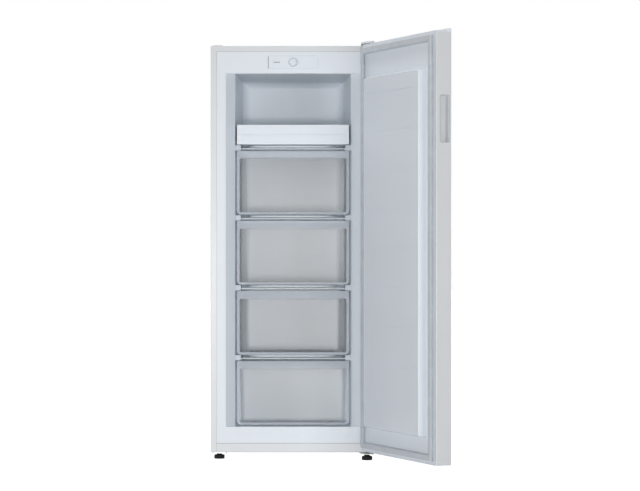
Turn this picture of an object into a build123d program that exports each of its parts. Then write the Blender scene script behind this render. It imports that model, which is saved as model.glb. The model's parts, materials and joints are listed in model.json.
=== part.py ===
from build123d import *
from math import atan, cos, degrees, pi, sin, tan
import os

os.makedirs("parts", exist_ok=True)

# An upright freezer with its door standing open. Millimetres, +Z up, X to the right and Y to the
# back as seen by someone facing it. The origin is on the floor, under the middle of the cabinet.

# ---- Cabinet, outside ----------------------------------------------------------------------
CAB_W = 560.0            # width over the side panels
CAB_D = 495.0            # depth without the door
BASE_Z = 22.5            # underside above the floor
TOP_Z = 1405.5           # top panel above the floor
SHEET = 0.8              # painted steel sheet
BEND_R = 2.5             # outer radius of its folds
FLANGE_W = 20.0          # front return of the side and top panels
BACK_RETURN = 14.0       # rear return, which carries the back panel
RAIL_H = 31.5            # front rail under the compartment
RAIL_RETURN = 60.0       # its bottom return

HALF_W = CAB_W / 2
INNER_W = HALF_W - SHEET
FRONT = -CAB_D / 2
BACK = CAB_D / 2
RAIL_TOP = BASE_Z + RAIL_H
LIP_X = HALF_W - FLANGE_W

# ---- Compartment ---------------------------------------------------------------------------
LINER_T = 2.0            # moulded plastic liner
MOUTH_HALF = 228.0       # half width of the opening at the front plane
BEVEL_D = 35.0           # depth of the bevelled cheeks
THROAT_HALF = 197.0      # half width behind the bevel
REAR_HALF = 180.0        # half width at the back wall
CAVITY_D = 430.0         # depth to the back wall
FLOOR_Z = 110.0
TOP_WALL = 94.0          # over the compartment, with the controls
CEILING_Z = TOP_Z - TOP_WALL
CORNER_R = 28.0          # upright corners at the back wall
CHEEK_R = 8.0            # where the bevel meets the straight wall
STEP_D = 244.0           # depth at which the floor steps up over the compressor
STEP_Z = 318.0           # height of that step
STEP_LEAN = 22.0         # how far its riser leans back
STEP_FOOT_R = 8.0        # round at the riser's foot
CEILING_R = 25.0
RUNNER_X = 130.0         # ridges on the floor that carry the lowest drawer
RUNNER_W = 14.0
RUNNER_D = 100.0         # where they begin
JOINT_W = 1.6            # open joint between the steel and the fascia
JOINT_D = 1.2

# ---- Storage levels ------------------------------------------------------------------------
LEVEL_1 = 115.0          # underside of the lowest drawer
LEVEL_PITCH = 239.0
LEVELS = 5               # four drawers and the tray
SEAT_GAP = 0.3           # clearance under each drawer and the tray

# ---- Evaporator shelves --------------------------------------------------------------------
TUBE_D = 8.0             # across the flats
WIRE = 1.6
ROD = 5.0                # carrying rods at the front and the rear
PASSES = 5               # runs of the tube from side to side
PASS_FRONT = 60.0        # depth of the first run
PASS_BACK = 42.0         # between the last run and the back wall
PASS_PITCH = (CAVITY_D - PASS_BACK - PASS_FRONT) / (PASSES - 1)
PASS_RIGHT = 146.0       # how far the right-hand bends reach
PASS_LEFT = -134.0       # how far the left-hand bends reach
FEED_X = 148.0           # lines that run to the back wall at both sides
FEED_R = 18.0
WIRES = 12
WIRE_PITCH = 26.0
WIRE_FRONT = 36.0
WIRE_BACK = 18.0         # between the wires and the back wall
WIRE_REAR = CAVITY_D - WIRE_BACK
ROD_FRONT = 48.0
ROD_BACK = 26.0          # between the rear rod and the back wall
ROD_REAR = CAVITY_D - ROD_BACK
ROD_REACH = 7.0          # how far the rods run into their clips
CLIP_W = 18.0            # clip on the side wall
CLIP_D = 22.0
CLIP_H = 18.0
CLIP_DROP = 2.0          # clip top below the wires

# ---- Drawers and tray ----------------------------------------------------------------------
SIDE_GAP = 6.0           # between a drawer's front and the walls
DRAWER_W = 2 * (THROAT_HALF - SIDE_GAP)
DRAWER_H = 217.0
FACE_D = 20.0            # front face behind the cabinet's front plane
FRAME_T = 13.0           # depth of the front frame
FRAME_SIDE = 9.0
FRAME_FOOT = 8.0
PULL_H = 26.0            # pull along the top of the frame
PULL_T = 3.0
FRAME_R = 14.0
TUB_WALL = 2.0
TUB_IN = 7.0             # its tub stands back from the front's sides
TUB_SIDE = 10.0          # between the tub's back end and the walls
TUB_BACK = 32.0          # between a full drawer and the back wall
LOW_TUB_BACK = 18.0      # between the lowest one and the step
TUB_FRONT_HALF = DRAWER_W / 2 - TUB_IN
TUB_REAR_HALF = REAR_HALF - TUB_SIDE
TUB_REAR = CAVITY_D - TUB_BACK
LOW_TUB_REAR = STEP_D - LOW_TUB_BACK
TUB_DRAFT = 1.5          # degrees
TUB_CUT = 7.0            # cut corners
TUB_RIM = 4.0
TRAY_H = 67.0
TRAY_GROOVE = 35.0       # ledge below the tray's top edge
TRAY_FACE_D = 18.0
TRAY_LEDGE = 3.0         # depth of the groove across its front
TRAY_SEAM = 3.0          # height of that groove
TRAY_STEP = 1.0          # the band above it lies further back
TRAY_WALL = 2.5

# ---- Control panel -------------------------------------------------------------------------
FASCIA_T = 2.5
PLATE_X0 = -83.0
PLATE_X1 = 85.0
PLATE_DROP = 34.5        # its top edge below the cabinet's top
PLATE_H = 43.0
PLATE_Z1 = TOP_Z - PLATE_DROP
PLATE_Z0 = PLATE_Z1 - PLATE_H
PLATE_T = 1.5
PLATE_SLOT = 3.0         # finger slot at the plate's left edge
PLATE_GAP = 1.0
KNOB_RISE = 21.6         # its axis above the plate's lower edge
KNOB_Z = PLATE_Z0 + KNOB_RISE
KNOB_D = 28.0
KNOB_H = 12.0
KNOB_SKIRT = 2.0
KNOB_EDGE = 1.5          # slope of its upper edge and of the dish in its face
KNOB_DISH = 6.0          # rim width round the dish
KNOB_GAP = 0.5           # between the knob and the plate
KNOB_TOP = 4.0           # material over the shaft's bore
RIB_W = 2.4              # pointer rib
SHAFT_D = 6.0
SHAFT_HOLE = 8.0         # in the fascia and the plate
STAT_W = 58.0
STAT_D = 34.0
STAT_H = 40.0
LENS_X = -55.0
LENS_W = 22.0
LENS_H = 3.0
LENS_T = 1.2

# ---- Door ----------------------------------------------------------------------------------
DOOR_SIDE = 2.0          # narrower than the cabinet, at each side
DOOR_W = CAB_W - 2 * DOOR_SIDE
DOOR_T = 55.0
DOOR_GAP = 14.0          # between the door's inner face and the cabinet front
DOOR_Z0 = 30.0
DOOR_Z1 = TOP_Z
DOOR_R = 4.0             # upright front edges
DOOR_RETURN = 12.0       # inner return of the skin
CAP_T = 4.0
CAP_SKIRT = 14.0
CAP_WALL = 2.5
CAP_FIT = 0.2
RIM_H = 7.5              # raised rim along the front of the top cap
RIM_T = 18.0
RIM_SLOPE = 5.0
RIM_NOTCH = 40.0         # where the rim stops short of the hinge
REST_ANGLE = 113.0       # how far the door stands open in the photo
PANEL_T = 2.5            # inner panel
PLATEAU_INSET = 64.0     # from the door's upright edges
PLATEAU_LOW = 83.0       # from the door's lower and upper edges
PLATEAU_HIGH = 112.5
PLATEAU_Z0 = DOOR_Z0 + PLATEAU_LOW
PLATEAU_Z1 = DOOR_Z1 - PLATEAU_HIGH
PLATEAU_H = 28.0
PLATEAU_CUT = 5.0        # its cut corners
PLATEAU_SLOPE = 8.0
GROOVES = 9
GROOVE_PITCH = 128.0
GROOVE_W = 6.0
GROOVE_H = 1.3
GROOVE_SHARE = 0.35      # half length of a groove, of the plateau's width
GASKET_IN = 12.0         # from the door's edges
GASKET_W = 22.0
GASKET_H = 13.0
GASKET_FOOT = 3.0
GASKET_WAIST = 10.0
GASKET_HEAD = 5.0
GASKET_FACE = 18.0       # width of its head
CORNER_CUT = 3.0         # foam kept clear of the skin's folds

# ---- Handle recess in the door's free edge -------------------------------------------------
GRIP_DROP = 203.5        # its upper end below the door's top
GRIP_H = 151.0
GRIP_Z1 = DOOR_Z1 - GRIP_DROP
GRIP_Z0 = GRIP_Z1 - GRIP_H
GRIP_RIM = 2.5
GRIP_W = 33.0
GRIP_EDGE = 8.0          # from the door's outer face to the cup's flange
GRIP_DEEP = 26.0
GRIP_WALL = 2.0
GRIP_R = 6.0
GRIP_SLOPE = 8.0

# ---- Hinges and feet -----------------------------------------------------------------------
HINGE_IN = 17.0          # axis from the cabinet's side face
HINGE_OUT = 39.0         # axis in front of the cabinet's front plane
PIN_D = 8.0
RUN_FIT = 0.1            # radial clearance of pins, stems, axles and shafts that turn
BUSH_D = 14.0
BUSH_H = 20.0
BUSH_FIT = 0.1           # wider hole round each bush
BOSS_D = 20.0
PLATE_STEEL = 2.5        # upper hinge plate
JOGGLE = 2.5             # step up from the cabinet top
LEAF_X0 = 232.0          # upper hinge leaf and its cover
LEAF_X1 = 275.0
LEAF_REAR = 42.0
LEAF_NOSE = 11.0         # radius of its nose round the pin
LEAF_BEND = 1.0          # its joggle, behind the front plane
UPPER_SCREW_X = 12.0     # screws either side of the leaf's middle line
UPPER_SCREW_D = 12.0
UPPER_SCREW_BACK = 16.0  # the third screw, behind the other two
COVER_H = 12.0           # its hood above the cabinet's top
COVER_WALL = 2.0
COVER_FIT = 0.2          # above the leaf
PIN_HEAD_H = 1.5
PIN_HEAD = 12.0
PIN_COLLAR = 14.0
PIN_GAP = 0.5            # between the lower pin's collar and the door
PIN_SHORT = 2.0          # the pins end before the bottom of their bushes
LOW_STEEL = 3.0          # lower hinge plate and foot plate
LOW_REAR = 46.0
LOW_HALF = 26.0          # reach of both plates inwards from the foot
LOW_MARGIN = 4.0         # between the plates and the cabinet's side
LOW_FOOT_R = 16.0        # hinge plate round the foot's stem
LOWER_SCREW_X = 18.0     # screws either side of the foot
LOWER_SCREW_D = 12.0
FOOT_X = 251.0
FOOT_RIGHT_D = -26.0     # right foot, in front of the front plane
FOOT_LEFT_D = 28.0
FOOT_D = 36.0
FOOT_DISC = 11.0
FOOT_EDGE = 1.5
FOOT_GAP = 0.3           # between its neck and the plate above
FOOT_NECK = 16.0
FOOT_STEM = 10.0
STEM_HOLE = 12.0         # clearance hole in the cabinet's underside
STEM_TOP = 26.0
CAP_COVER_X0 = -272.0    # cover of the unused hinge holes
CAP_COVER_X1 = -239.0
CAP_COVER_D = 34.0
CAP_COVER_IN = 6.0       # behind the front plane
CAP_COVER_H = 1.7
SCREW_D = 4.0
SCREW_HEAD = 8.0
HEAD_H = 2.0
SCREW_L = 7.0
HOLE_FIT = 0.25          # radial clearance of screws in their holes

# ---- Compressor bay ------------------------------------------------------------------------
BAY_D = 292.0            # depth at which the bay begins
BAY_LEAN = 12.0
BAY_Z = 236.0            # front edge of its roof
BAY_RISE = 12.0          # how much the roof climbs to the back
RAIL_Y0 = 352.0          # compressor rail
RAIL_Y1 = 474.0
RAIL_T = 1.5
RAIL_UP = 26.0           # rear flange; the front one is half as high
ROLLER_X = 244.0
ROLLER_D = 21.0
ROLLER_W = 14.0
ROLLER_Y = 452.0
AXLE_D = 5.0
EAR_T = 2.0
EAR_GAP = 0.6
EAR_W = 18.0
EAR_H = 5.0              # below the axle's centre
FORK_TOP = 1.2
COMP_X = 92.0
COMP_Y = 402.0
COMP_D = 150.0
COMP_SEAM = 92.0         # seam between the two shells, above the leg plate
COMP_TOP = 164.0
SEAM_H = 5.0
SHELL_SEAM = 3.0
POT_LOW = ((0.50, 0), (0.62, 9), (0.86, 16), (0.97, 34), (1.0, 90))
POT_HIGH = ((0.985, 98), (0.985, 136), (0.93, 151), (0.78, 160), (0.45, 164))
LEG_W = 196.0
LEG_D = 96.0
LEG_T = 3.0
LEG_CUT = 12.0
LEG_INSET = 14.0         # grommets in from the leg plate's edges
GROMMET_D = 20.0
GROMMET_H = 14.0
GROMMET_SEAT = 10.0      # height of its wide part, on which the leg plate rests
GROMMET_STEP = 6.0
TERMINAL_Z = 62.0        # relay housing, above the underside
TERMINAL_W = 56.0
TERMINAL_H = 58.0
TERMINAL_OUT = 34.0
TERMINAL_IN = 22.0
TERMINAL_EDGE = 6.0
BOLT_D = 6.0
LINE_D = 6.5             # refrigerant lines, across the flats
LINE_R = 18.0
LINE_Z = 120.0           # where the lines leave the pot, above the underside
LINE_OVER = 10.0         # run on past the roof's rear edge before they are cut to it
CAPILLARY_D = 2.6
DISCHARGE_IN = 25.0      # discharge line, from the pot's left flank inwards and outwards
DISCHARGE_OUT = 30.0
DISCHARGE_START = 35.0   # in front of the pot's middle
DISCHARGE_END = 62.0
SUCTION_START = 50.0
SUCTION_END = 92.0
SUCTION_DROP = 12.0      # below the other lines
STUB_IN = 12.0           # filling stub on the right flank
STUB_OUT = 24.0
STUB_H = 55.0
DRIER_R = 8.0            # bends over the drier
DRIER_LOOP = 18.0
DRIER_STEP = 40.0
CAPILLARY_DROP = 24.0
CAPILLARY_STEP = 75.0
DRIER_D = 19.0
DRIER_L = 92.0
DRIER_NECK = 8.0
DRIER_SWAGE = 7.7        # across its necks, which close on the lines
DRIER_X = -120.0
DRIER_Z = 112.0
GLAND_D = 16.0
GLAND_RIM = 2.0
GLAND_RISE = 1.0         # its rim above the rail's floor
GLAND_IN = 8.0
GLAND_OUT = 4.0
LEAD_D = 7.0
GLAND_X = -150.0
CONDENSER_D = 5.0
CONDENSER_RUNS = 4
CONDENSER_PITCH = 100.0
CONDENSER_Z0 = 330.0
CONDENSER_DROP = 155.5   # its upper bends below the cabinet's top
CONDENSER_Z1 = TOP_Z - CONDENSER_DROP
CONDENSER_FRONT = 95.0
CONDENSER_R = 40.0

# ---- Facets --------------------------------------------------------------------------------
TUBE_FLATS = 6           # flat sides of thin tubes
BEND_CUTS = 2            # straight runs in a tube's bend
HOLE_FLATS = 8           # flat sides of clearance holes and screw shanks
HEAD_FLATS = 6           # screw heads
JOIN = 0.05              # points nearer than this are one
KNOB_FLATS = 24
FOOT_FLATS = 18
ROLLER_FLATS = 20
POT_FLATS = 20
DRIER_FLATS = 12
PIN_FLATS = 12           # pins, stems, axles and their holes

# ---- Worked out from the above -------------------------------------------------------------
MOUTH_TOP = CEILING_Z + LINER_T
DOOR_HALF = DOOR_W / 2
DOOR_IN = FRONT - DOOR_GAP
DOOR_OUT = DOOR_IN - DOOR_T
HINGE_X = HALF_W - HINGE_IN
HINGE_Y = FRONT - HINGE_OUT
LEVEL = [LEVEL_1 + LEVEL_PITCH * i for i in range(LEVELS)]
TUBE_Z = WIRE + TUBE_D / 2
BOTTOM_WIRES = WIRE + TUBE_D
ROD_TOP = BOTTOM_WIRES + WIRE
BAY_Y = FRONT + BAY_D
PLATE_BACK = BACK - SHEET


def block(x0, x1, y0, y1, z0, z1):
    """A box between two opposite corners."""
    middle = Pos((x0 + x1) / 2, (y0 + y1) / 2, (z0 + z1) / 2)
    return middle * Box(x1 - x0, y1 - y0, z1 - z0)


def rounded(points, radii):
    """A closed flat face with rounded corners."""
    return make_face(FilletPolyline(*points, radius=radii, close=True))


def plan(face, z0, z1):
    """A face drawn in X and Y, raised from z0 to z1."""
    return extrude(Pos(0, 0, z0) * face, amount=z1 - z0)


def profile(face, x0, x1):
    """A face drawn in Y and Z, extruded from x0 to x1."""
    return extrude(Plane.YZ.offset(x0) * face, amount=x1 - x0)


def elevation(face, y0, y1):
    """A face drawn in X and Z as seen from the front, extruded from y0 back to y1."""
    seen = Plane(origin=(0, y0, 0), x_dir=(1, 0, 0), z_dir=(0, -1, 0))
    return extrude(seen * face, amount=-(y1 - y0))


def cut_corners(half, far_half, near, far, cut):
    """A flat four-sided face, symmetric about X = 0, with its corners cut off."""
    lean = (half - far_half) / (far - near) * cut
    points = [
        (half - cut, near),
        (half - lean, near + cut),
        (far_half + lean, far - cut),
        (far_half - cut, far),
    ]
    mirrored = [(-x, y) for x, y in reversed(points)]
    return make_face(Polyline(*points, *mirrored, close=True))


def folded(points, radius, side):
    """The section of a sheet folded along a line, with the sheet's thickness on one side."""
    line = FilletPolyline(*points, radius=radius)
    edge = offset(line, amount=SHEET, side=side, closed=True, kind=Kind.INTERSECTION)
    return make_face(edge)


def rod(diameter, height, x, y, z):
    """An upright cylinder standing on z."""
    return Pos(x, y, z) * Cylinder(diameter / 2, height, align=(Align.CENTER, Align.CENTER, Align.MIN))


def bar(sides, across, z0, z1, x, y):
    """An upright prism with flat sides."""
    outline = RegularPolygon(across / 2, sides, major_radius=False, rotation=180 / sides)
    return plan(Pos(x, y) * outline, z0, z1)


def pin(across, z0, z1, x, y):
    """An upright pin whose edges lie on its diameter, so that it turns in a hole of any clearance."""
    outline = RegularPolygon(across / 2, PIN_FLATS, rotation=180 / PIN_FLATS)
    return plan(Pos(x, y) * outline, z0, z1)


def faceted(points, sides, x, y):
    """An upright body with flat sides through rings given as radius and height."""
    rings = []
    for radius, z in points:
        ring = []
        for i in range(sides):
            angle = (2 * i + 1) * pi / sides
            ring.append((x + radius * cos(angle), y + radius * sin(angle), z))
        rings.append(ring)
    faces = [Face(Wire.make_polygon(rings[0])), Face(Wire.make_polygon(rings[-1]))]
    for low, high in zip(rings, rings[1:]):
        for i in range(sides):
            k = (i + 1) % sides
            faces.append(Face(Wire.make_polygon([low[i], low[k], high[k], high[i]])))
    return Solid(Shell(faces))


def bends(points, radii, cuts):
    """A line's points with each corner cut into short straight runs along its arc."""
    line = [Vector(*points[0])]
    for before, corner, after, radius in zip(points, points[1:], points[2:], radii):
        middle = Vector(*corner)
        back = (Vector(*before) - middle).normalized()
        ahead = (Vector(*after) - middle).normalized()
        reach = radius / tan(back.get_angle(ahead) * pi / 360)
        start, end = middle + back * reach, middle + ahead * reach
        centre = middle + (back + ahead).normalized() * (radius ** 2 + reach ** 2) ** 0.5
        arm, side = start - centre, end - centre
        swing = arm.get_angle(side) * pi / 180
        for i in range(cuts + 1):
            share = i / cuts * swing
            spot = arm * (sin(swing - share) / sin(swing)) + side * (sin(share) / sin(swing))
            line.append(centre + spot)
    line.append(Vector(*points[-1]))
    kept = [line[0]]
    for point in line[1:]:
        if (point - kept[-1]).length > JOIN:
            kept.append(point)
    return Polyline(*kept)


def tube(points, radii, across, sides=TUBE_FLATS, cuts=BEND_CUTS):
    """A tube with flat sides along a line whose corners are bent in short straight runs."""
    line = bends(points, radii, cuts)
    ahead = line % 0
    flat = (1, 0, 0) if abs(ahead.Z) > 0.9 else (0, 0, 1)
    start = Plane(origin=line @ 0, x_dir=flat, z_dir=ahead)
    ring = RegularPolygon(across / 2, sides, major_radius=False, rotation=180 / sides)
    return sweep(start * ring, path=line, transition=Transition.RIGHT)


def group(shapes):
    """Separate solids that belong to one node."""
    solids = [solid for shape in shapes for solid in shape.solids()]
    return Compound(children=solids)


# ---- Outer cabinet -------------------------------------------------------------------------
def side_panel(sign):
    points = [
        (sign * LIP_X, FRONT),
        (sign * HALF_W, FRONT),
        (sign * HALF_W, BACK),
        (sign * (HALF_W - BACK_RETURN), BACK),
    ]
    inside = Side.RIGHT if sign < 0 else Side.LEFT
    return plan(folded(points, BEND_R, inside), BASE_Z, TOP_Z)


def bottom_holes(shape):
    """Drills a piece under the front corners for the left foot's stem and the plates' screws."""
    spots = lower_screw_spots(1) + lower_screw_spots(-1)
    for x, y in spots:
        shape = shape - bar(HOLE_FLATS, SCREW_D + 2 * HOLE_FIT, BASE_Z - SCREW_L, BASE_Z + SCREW_L, x, y)
    return shape - bar(HOLE_FLATS, STEM_HOLE, 0, STEM_TOP + 1, -FOOT_X, FRONT + FOOT_LEFT_D)


def clear_of_lips(shape):
    """Cuts the front and rear returns of the side panels out of a panel that spans between them."""
    for sign in (-1, 1):
        x0, x1 = sorted((sign * LIP_X, sign * HALF_W))
        shape = shape - block(x0, x1, FRONT, FRONT + SHEET, 0, TOP_Z + 1)
        x0, x1 = sorted((sign * (HALF_W - BACK_RETURN), sign * HALF_W))
        shape = shape - block(x0, x1, BACK - SHEET, BACK, 0, TOP_Z + 1)
        shape = shape - side_panel(sign)
    return shape


def top_panel():
    points = [
        (FRONT, TOP_Z - FLANGE_W),
        (FRONT, TOP_Z),
        (BACK, TOP_Z),
        (BACK, TOP_Z - BACK_RETURN),
    ]
    panel = clear_of_lips(profile(folded(points, BEND_R, Side.RIGHT), -INNER_W, INNER_W))
    for x, y in upper_screw_spots():
        panel = panel - bar(HOLE_FLATS, SCREW_D + 2 * HOLE_FIT, TOP_Z - 2 * SHEET, TOP_Z + SHEET, x, y)
    return panel


def bottom_rail():
    points = [
        (FRONT + FLANGE_W, RAIL_TOP),
        (FRONT, RAIL_TOP),
        (FRONT, BASE_Z),
        (FRONT + RAIL_RETURN, BASE_Z),
    ]
    rail = profile(folded(points, BEND_R, Side.LEFT), -INNER_W, INNER_W)
    for sign in (-1, 1):
        x0, x1 = sorted((sign * LIP_X, sign * HALF_W))
        rail = rail - block(x0, x1, FRONT - 1, FRONT + BEND_R, 0, RAIL_TOP + 1)
    return bottom_holes(rail)


def base_plate():
    """Closes the underside and forms the front wall and roof of the compressor bay."""
    points = [
        (FRONT + RAIL_RETURN, BASE_Z),
        (BAY_Y, BASE_Z),
        (BAY_Y + BAY_LEAN, BAY_Z),
        (PLATE_BACK, BAY_Z + BAY_RISE),
    ]
    return clear_of_lips(profile(folded(points, BEND_R, Side.LEFT), -INNER_W, INNER_W))


def under_base():
    """Everything below the base plate's upper surface, to shape the insulation."""
    points = [
        (FRONT, 0),
        (FRONT, BASE_Z),
        (BAY_Y, BASE_Z),
        (BAY_Y + BAY_LEAN, BAY_Z),
        (BACK, BAY_Z + BAY_RISE),
        (BACK, 0),
    ]
    return profile(make_face(Polyline(*points, close=True)), -HALF_W, HALF_W)


def back_panel():
    reach = HALF_W - BACK_RETURN
    return block(-reach, reach, PLATE_BACK, BACK, BAY_Z + BAY_RISE, TOP_Z - BACK_RETURN)


def back_screws():
    """Screw heads along both edges of the back panel."""
    edge = HALF_W - BACK_RETURN - SCREW_HEAD
    rows = 4
    low = BAY_Z + BAY_RISE + FLANGE_W
    step = (TOP_Z - BACK_RETURN - FLANGE_W - low) / (rows - 1)
    heads = []
    for sign in (-1, 1):
        for row in range(rows):
            spot = Pos(sign * edge, BACK, low + step * row) * Rot(-90, 0, 0)
            heads.append(spot * bar(HEAD_FLATS, SCREW_HEAD, 0, HEAD_H, 0, 0))
    return group(heads)


# ---- Liner, shelves and insulation ---------------------------------------------------------
def cavity(grow, front):
    """The compartment's space, widened by grow on every wall and starting at front."""
    slope = (THROAT_HALF - REAR_HALF) / (CAVITY_D - BEVEL_D)
    rear = FRONT + CAVITY_D + grow
    throat = FRONT + BEVEL_D
    half = THROAT_HALF + grow
    rear_half = half - slope * (rear - throat)
    mouth = MOUTH_HALF + grow
    corners = [
        (-mouth, front),
        (-mouth, FRONT),
        (-half, throat),
        (-rear_half, rear),
        (rear_half, rear),
        (half, throat),
        (mouth, FRONT),
        (mouth, front),
    ]
    radii = [0, 0, CHEEK_R, CORNER_R + grow, CORNER_R + grow, CHEEK_R, 0, 0]
    walls = plan(rounded(corners, radii), FLOOR_Z - grow, CEILING_Z + grow)
    riser = FRONT + STEP_D + grow
    side = [
        (front, FLOOR_Z - grow),
        (riser, FLOOR_Z - grow),
        (riser + STEP_LEAN, STEP_Z - grow),
        (rear, STEP_Z - grow),
        (rear, CEILING_Z + grow),
        (front, CEILING_Z + grow),
    ]
    side_radii = [0, STEP_FOOT_R, CEILING_R, CEILING_R, CEILING_R + grow, 0]
    return walls & profile(rounded(side, side_radii), -HALF_W, HALF_W)


def liner_outside():
    return cavity(LINER_T, FRONT - 1) & block(-HALF_W, HALF_W, FRONT, BACK, 0, TOP_Z)


def inner_liner():
    flange = block(-LIP_X, LIP_X, FRONT, FRONT + LINER_T, RAIL_TOP, MOUTH_TOP)
    liner = flange + liner_outside() - cavity(0, FRONT - 1)
    y0, y1 = FRONT + RUNNER_D, FRONT + STEP_D - 2 * CEILING_R
    for sign in (-1, 1):
        x = sign * RUNNER_X
        runner = block(x - RUNNER_W / 2, x + RUNNER_W / 2, y0, y1, FLOOR_Z - LINER_T / 2, LEVEL_1)
        liner = liner + runner
    return liner


def shelf_tube(level):
    """One unbroken evaporator tube: in from the back wall, five runs, and back out."""
    path = [(-FEED_X, CAVITY_D), (-FEED_X, PASS_FRONT)]
    radii = [FEED_R]
    for run in range(PASSES):
        depth = PASS_FRONT + PASS_PITCH * run
        last = run == PASSES - 1
        turn = PASS_PITCH / 2
        if run % 2 == 0 and not last:
            path += [(PASS_RIGHT, depth), (PASS_RIGHT, depth + PASS_PITCH)]
            radii += [turn, turn]
        elif not last:
            path += [(PASS_LEFT, depth), (PASS_LEFT, depth + PASS_PITCH)]
            radii += [turn, turn]
        else:
            path += [(FEED_X, depth), (FEED_X, CAVITY_D)]
            radii += [FEED_R]
    points = [(x, FRONT + depth, level - TUBE_Z) for x, depth in path]
    return tube(points, radii, TUBE_D)


def evaporator_shelf(level):
    """Wires welded above and below the tube, on two carrying rods."""
    pieces = [shelf_tube(level)]
    for i in range(WIRES):
        x = (i - (WIRES - 1) / 2) * WIRE_PITCH
        y0, y1 = FRONT + WIRE_FRONT, FRONT + WIRE_REAR
        pieces.append(block(x, x + WIRE, y0, y1, level - WIRE, level))
        low = level - BOTTOM_WIRES
        pieces.append(block(x, x + WIRE, y0, y1, low - WIRE, low))
    for depth in (ROD_FRONT, ROD_REAR):
        half = wall_half(depth) - CLIP_W + ROD_REACH
        y = FRONT + depth
        low = level - ROD_TOP
        pieces.append(block(-half, half, y - ROD / 2, y + ROD / 2, low - ROD, low))
    return group(pieces)


def wall_half(depth):
    """Half width between the side walls at a depth behind the bevel."""
    slope = (THROAT_HALF - REAR_HALF) / (CAVITY_D - BEVEL_D)
    return THROAT_HALF - slope * (max(depth, BEVEL_D) - BEVEL_D)


def shelf_clips(level, shelf):
    """Four clips on the side walls, which hold the ends of the carrying rods."""
    clips = []
    space = cavity(0, FRONT - 1)
    for sign in (-1, 1):
        for depth in (ROD_FRONT, ROD_REAR):
            half = wall_half(depth)
            x0, x1 = sorted((sign * (half - CLIP_W), sign * (half + BEVEL_D)))
            y = FRONT + depth
            top = level - CLIP_DROP
            clip = block(x0, x1, y - CLIP_D / 2, y + CLIP_D / 2, top - CLIP_H, top)
            clips.append((clip & space) - shelf)
    return group(clips)


# ---- Drawers and tray ----------------------------------------------------------------------
def tub(level, front, rear, height, wall, rim):
    """An open box that narrows to the back and to its floor, with an outward rim."""
    slope = (TUB_FRONT_HALF - TUB_REAR_HALF) / (TUB_REAR - front)
    low = level + SEAT_GAP
    top = low + height

    def section(grow):
        near, far = front - grow, rear + grow
        half = TUB_FRONT_HALF + grow
        far_half = half - slope * (far - near)
        return cut_corners(half, far_half, FRONT + near, FRONT + far, TUB_CUT + grow / 2)

    down = (0, 0, -1)
    outside = extrude(Pos(0, 0, top) * section(0), amount=height, dir=down, taper=TUB_DRAFT)
    inside = extrude(Pos(0, 0, top) * section(-wall), amount=height - wall, dir=down, taper=TUB_DRAFT)
    edge = plan(section(rim), top - wall, top)
    edge = edge & block(-HALF_W, HALF_W, FRONT + front, BACK, 0, TOP_Z)
    return outside + edge - inside, outside


def drawer(level, rear):
    """The clear tub and the clear frame clipped on its front, with a pull along the top."""
    front = FACE_D + FRAME_T
    body, filled = tub(level, front, rear, DRAWER_H - PULL_T, TUB_WALL, TUB_RIM)
    low = level + SEAT_GAP
    half = DRAWER_W / 2
    top = low + DRAWER_H
    corners = [(-half, low), (half, low), (half, top), (-half, top)]
    ring = rounded(corners, [FRAME_R, FRAME_R, 0, 0])
    wide = half - FRAME_SIDE
    mouth = top - PULL_H
    window = cut_corners(wide, wide, low + FRAME_FOOT, mouth, PULL_T)
    face = FRONT + FACE_D
    frame = elevation(ring, face, face + FRAME_T + PULL_T)
    frame = frame - elevation(window, face - 1, face + FRAME_T + PULL_T + 1)
    behind = block(-wide, wide, face + PULL_T, FRONT + BEVEL_D * 2, mouth - 1, top - PULL_T)
    return body, frame - behind - filled - body


def top_tray(level):
    """The white tray: a shallow tub whose front has a groove between two bands."""
    front = FACE_D + FRAME_T
    body, filled = tub(level, front, TUB_REAR, TRAY_H, TRAY_WALL, TUB_RIM)
    low = level + SEAT_GAP
    face = FRONT + TRAY_FACE_D
    ledge = low + TRAY_H - TRAY_GROOVE
    back = FRONT + front + TRAY_WALL
    side = [
        (face, low),
        (face, ledge),
        (face + TRAY_LEDGE, ledge),
        (face + TRAY_LEDGE, ledge + TRAY_SEAM),
        (face + TRAY_STEP, ledge + TRAY_SEAM),
        (face + TRAY_STEP, low + TRAY_H),
        (back, low + TRAY_H),
        (back, low + TRAY_H - TRAY_WALL),
        (face + TRAY_LEDGE + TRAY_WALL, low + TRAY_H - TRAY_WALL),
        (face + TRAY_LEDGE + TRAY_WALL, low),
    ]
    half = DRAWER_W / 2
    board = profile(make_face(Polyline(*side, close=True)), -half, half)
    for sign in (-1, 1):
        x0, x1 = sorted((sign * (half - TRAY_WALL), sign * half))
        board = board + block(x0, x1, face + TRAY_LEDGE, back, low, low + TRAY_H)
    return body + (board - filled)


# ---- Control panel -------------------------------------------------------------------------
def shaft_hole():
    """The hole for the thermostat's shaft, as a cutter."""
    return Pos(0, FRONT, KNOB_Z) * Rot(90, 0, 0) * bar(HOLE_FLATS, SHAFT_HOLE, -STAT_D / 2, STAT_D / 2, 0, 0)


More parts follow.
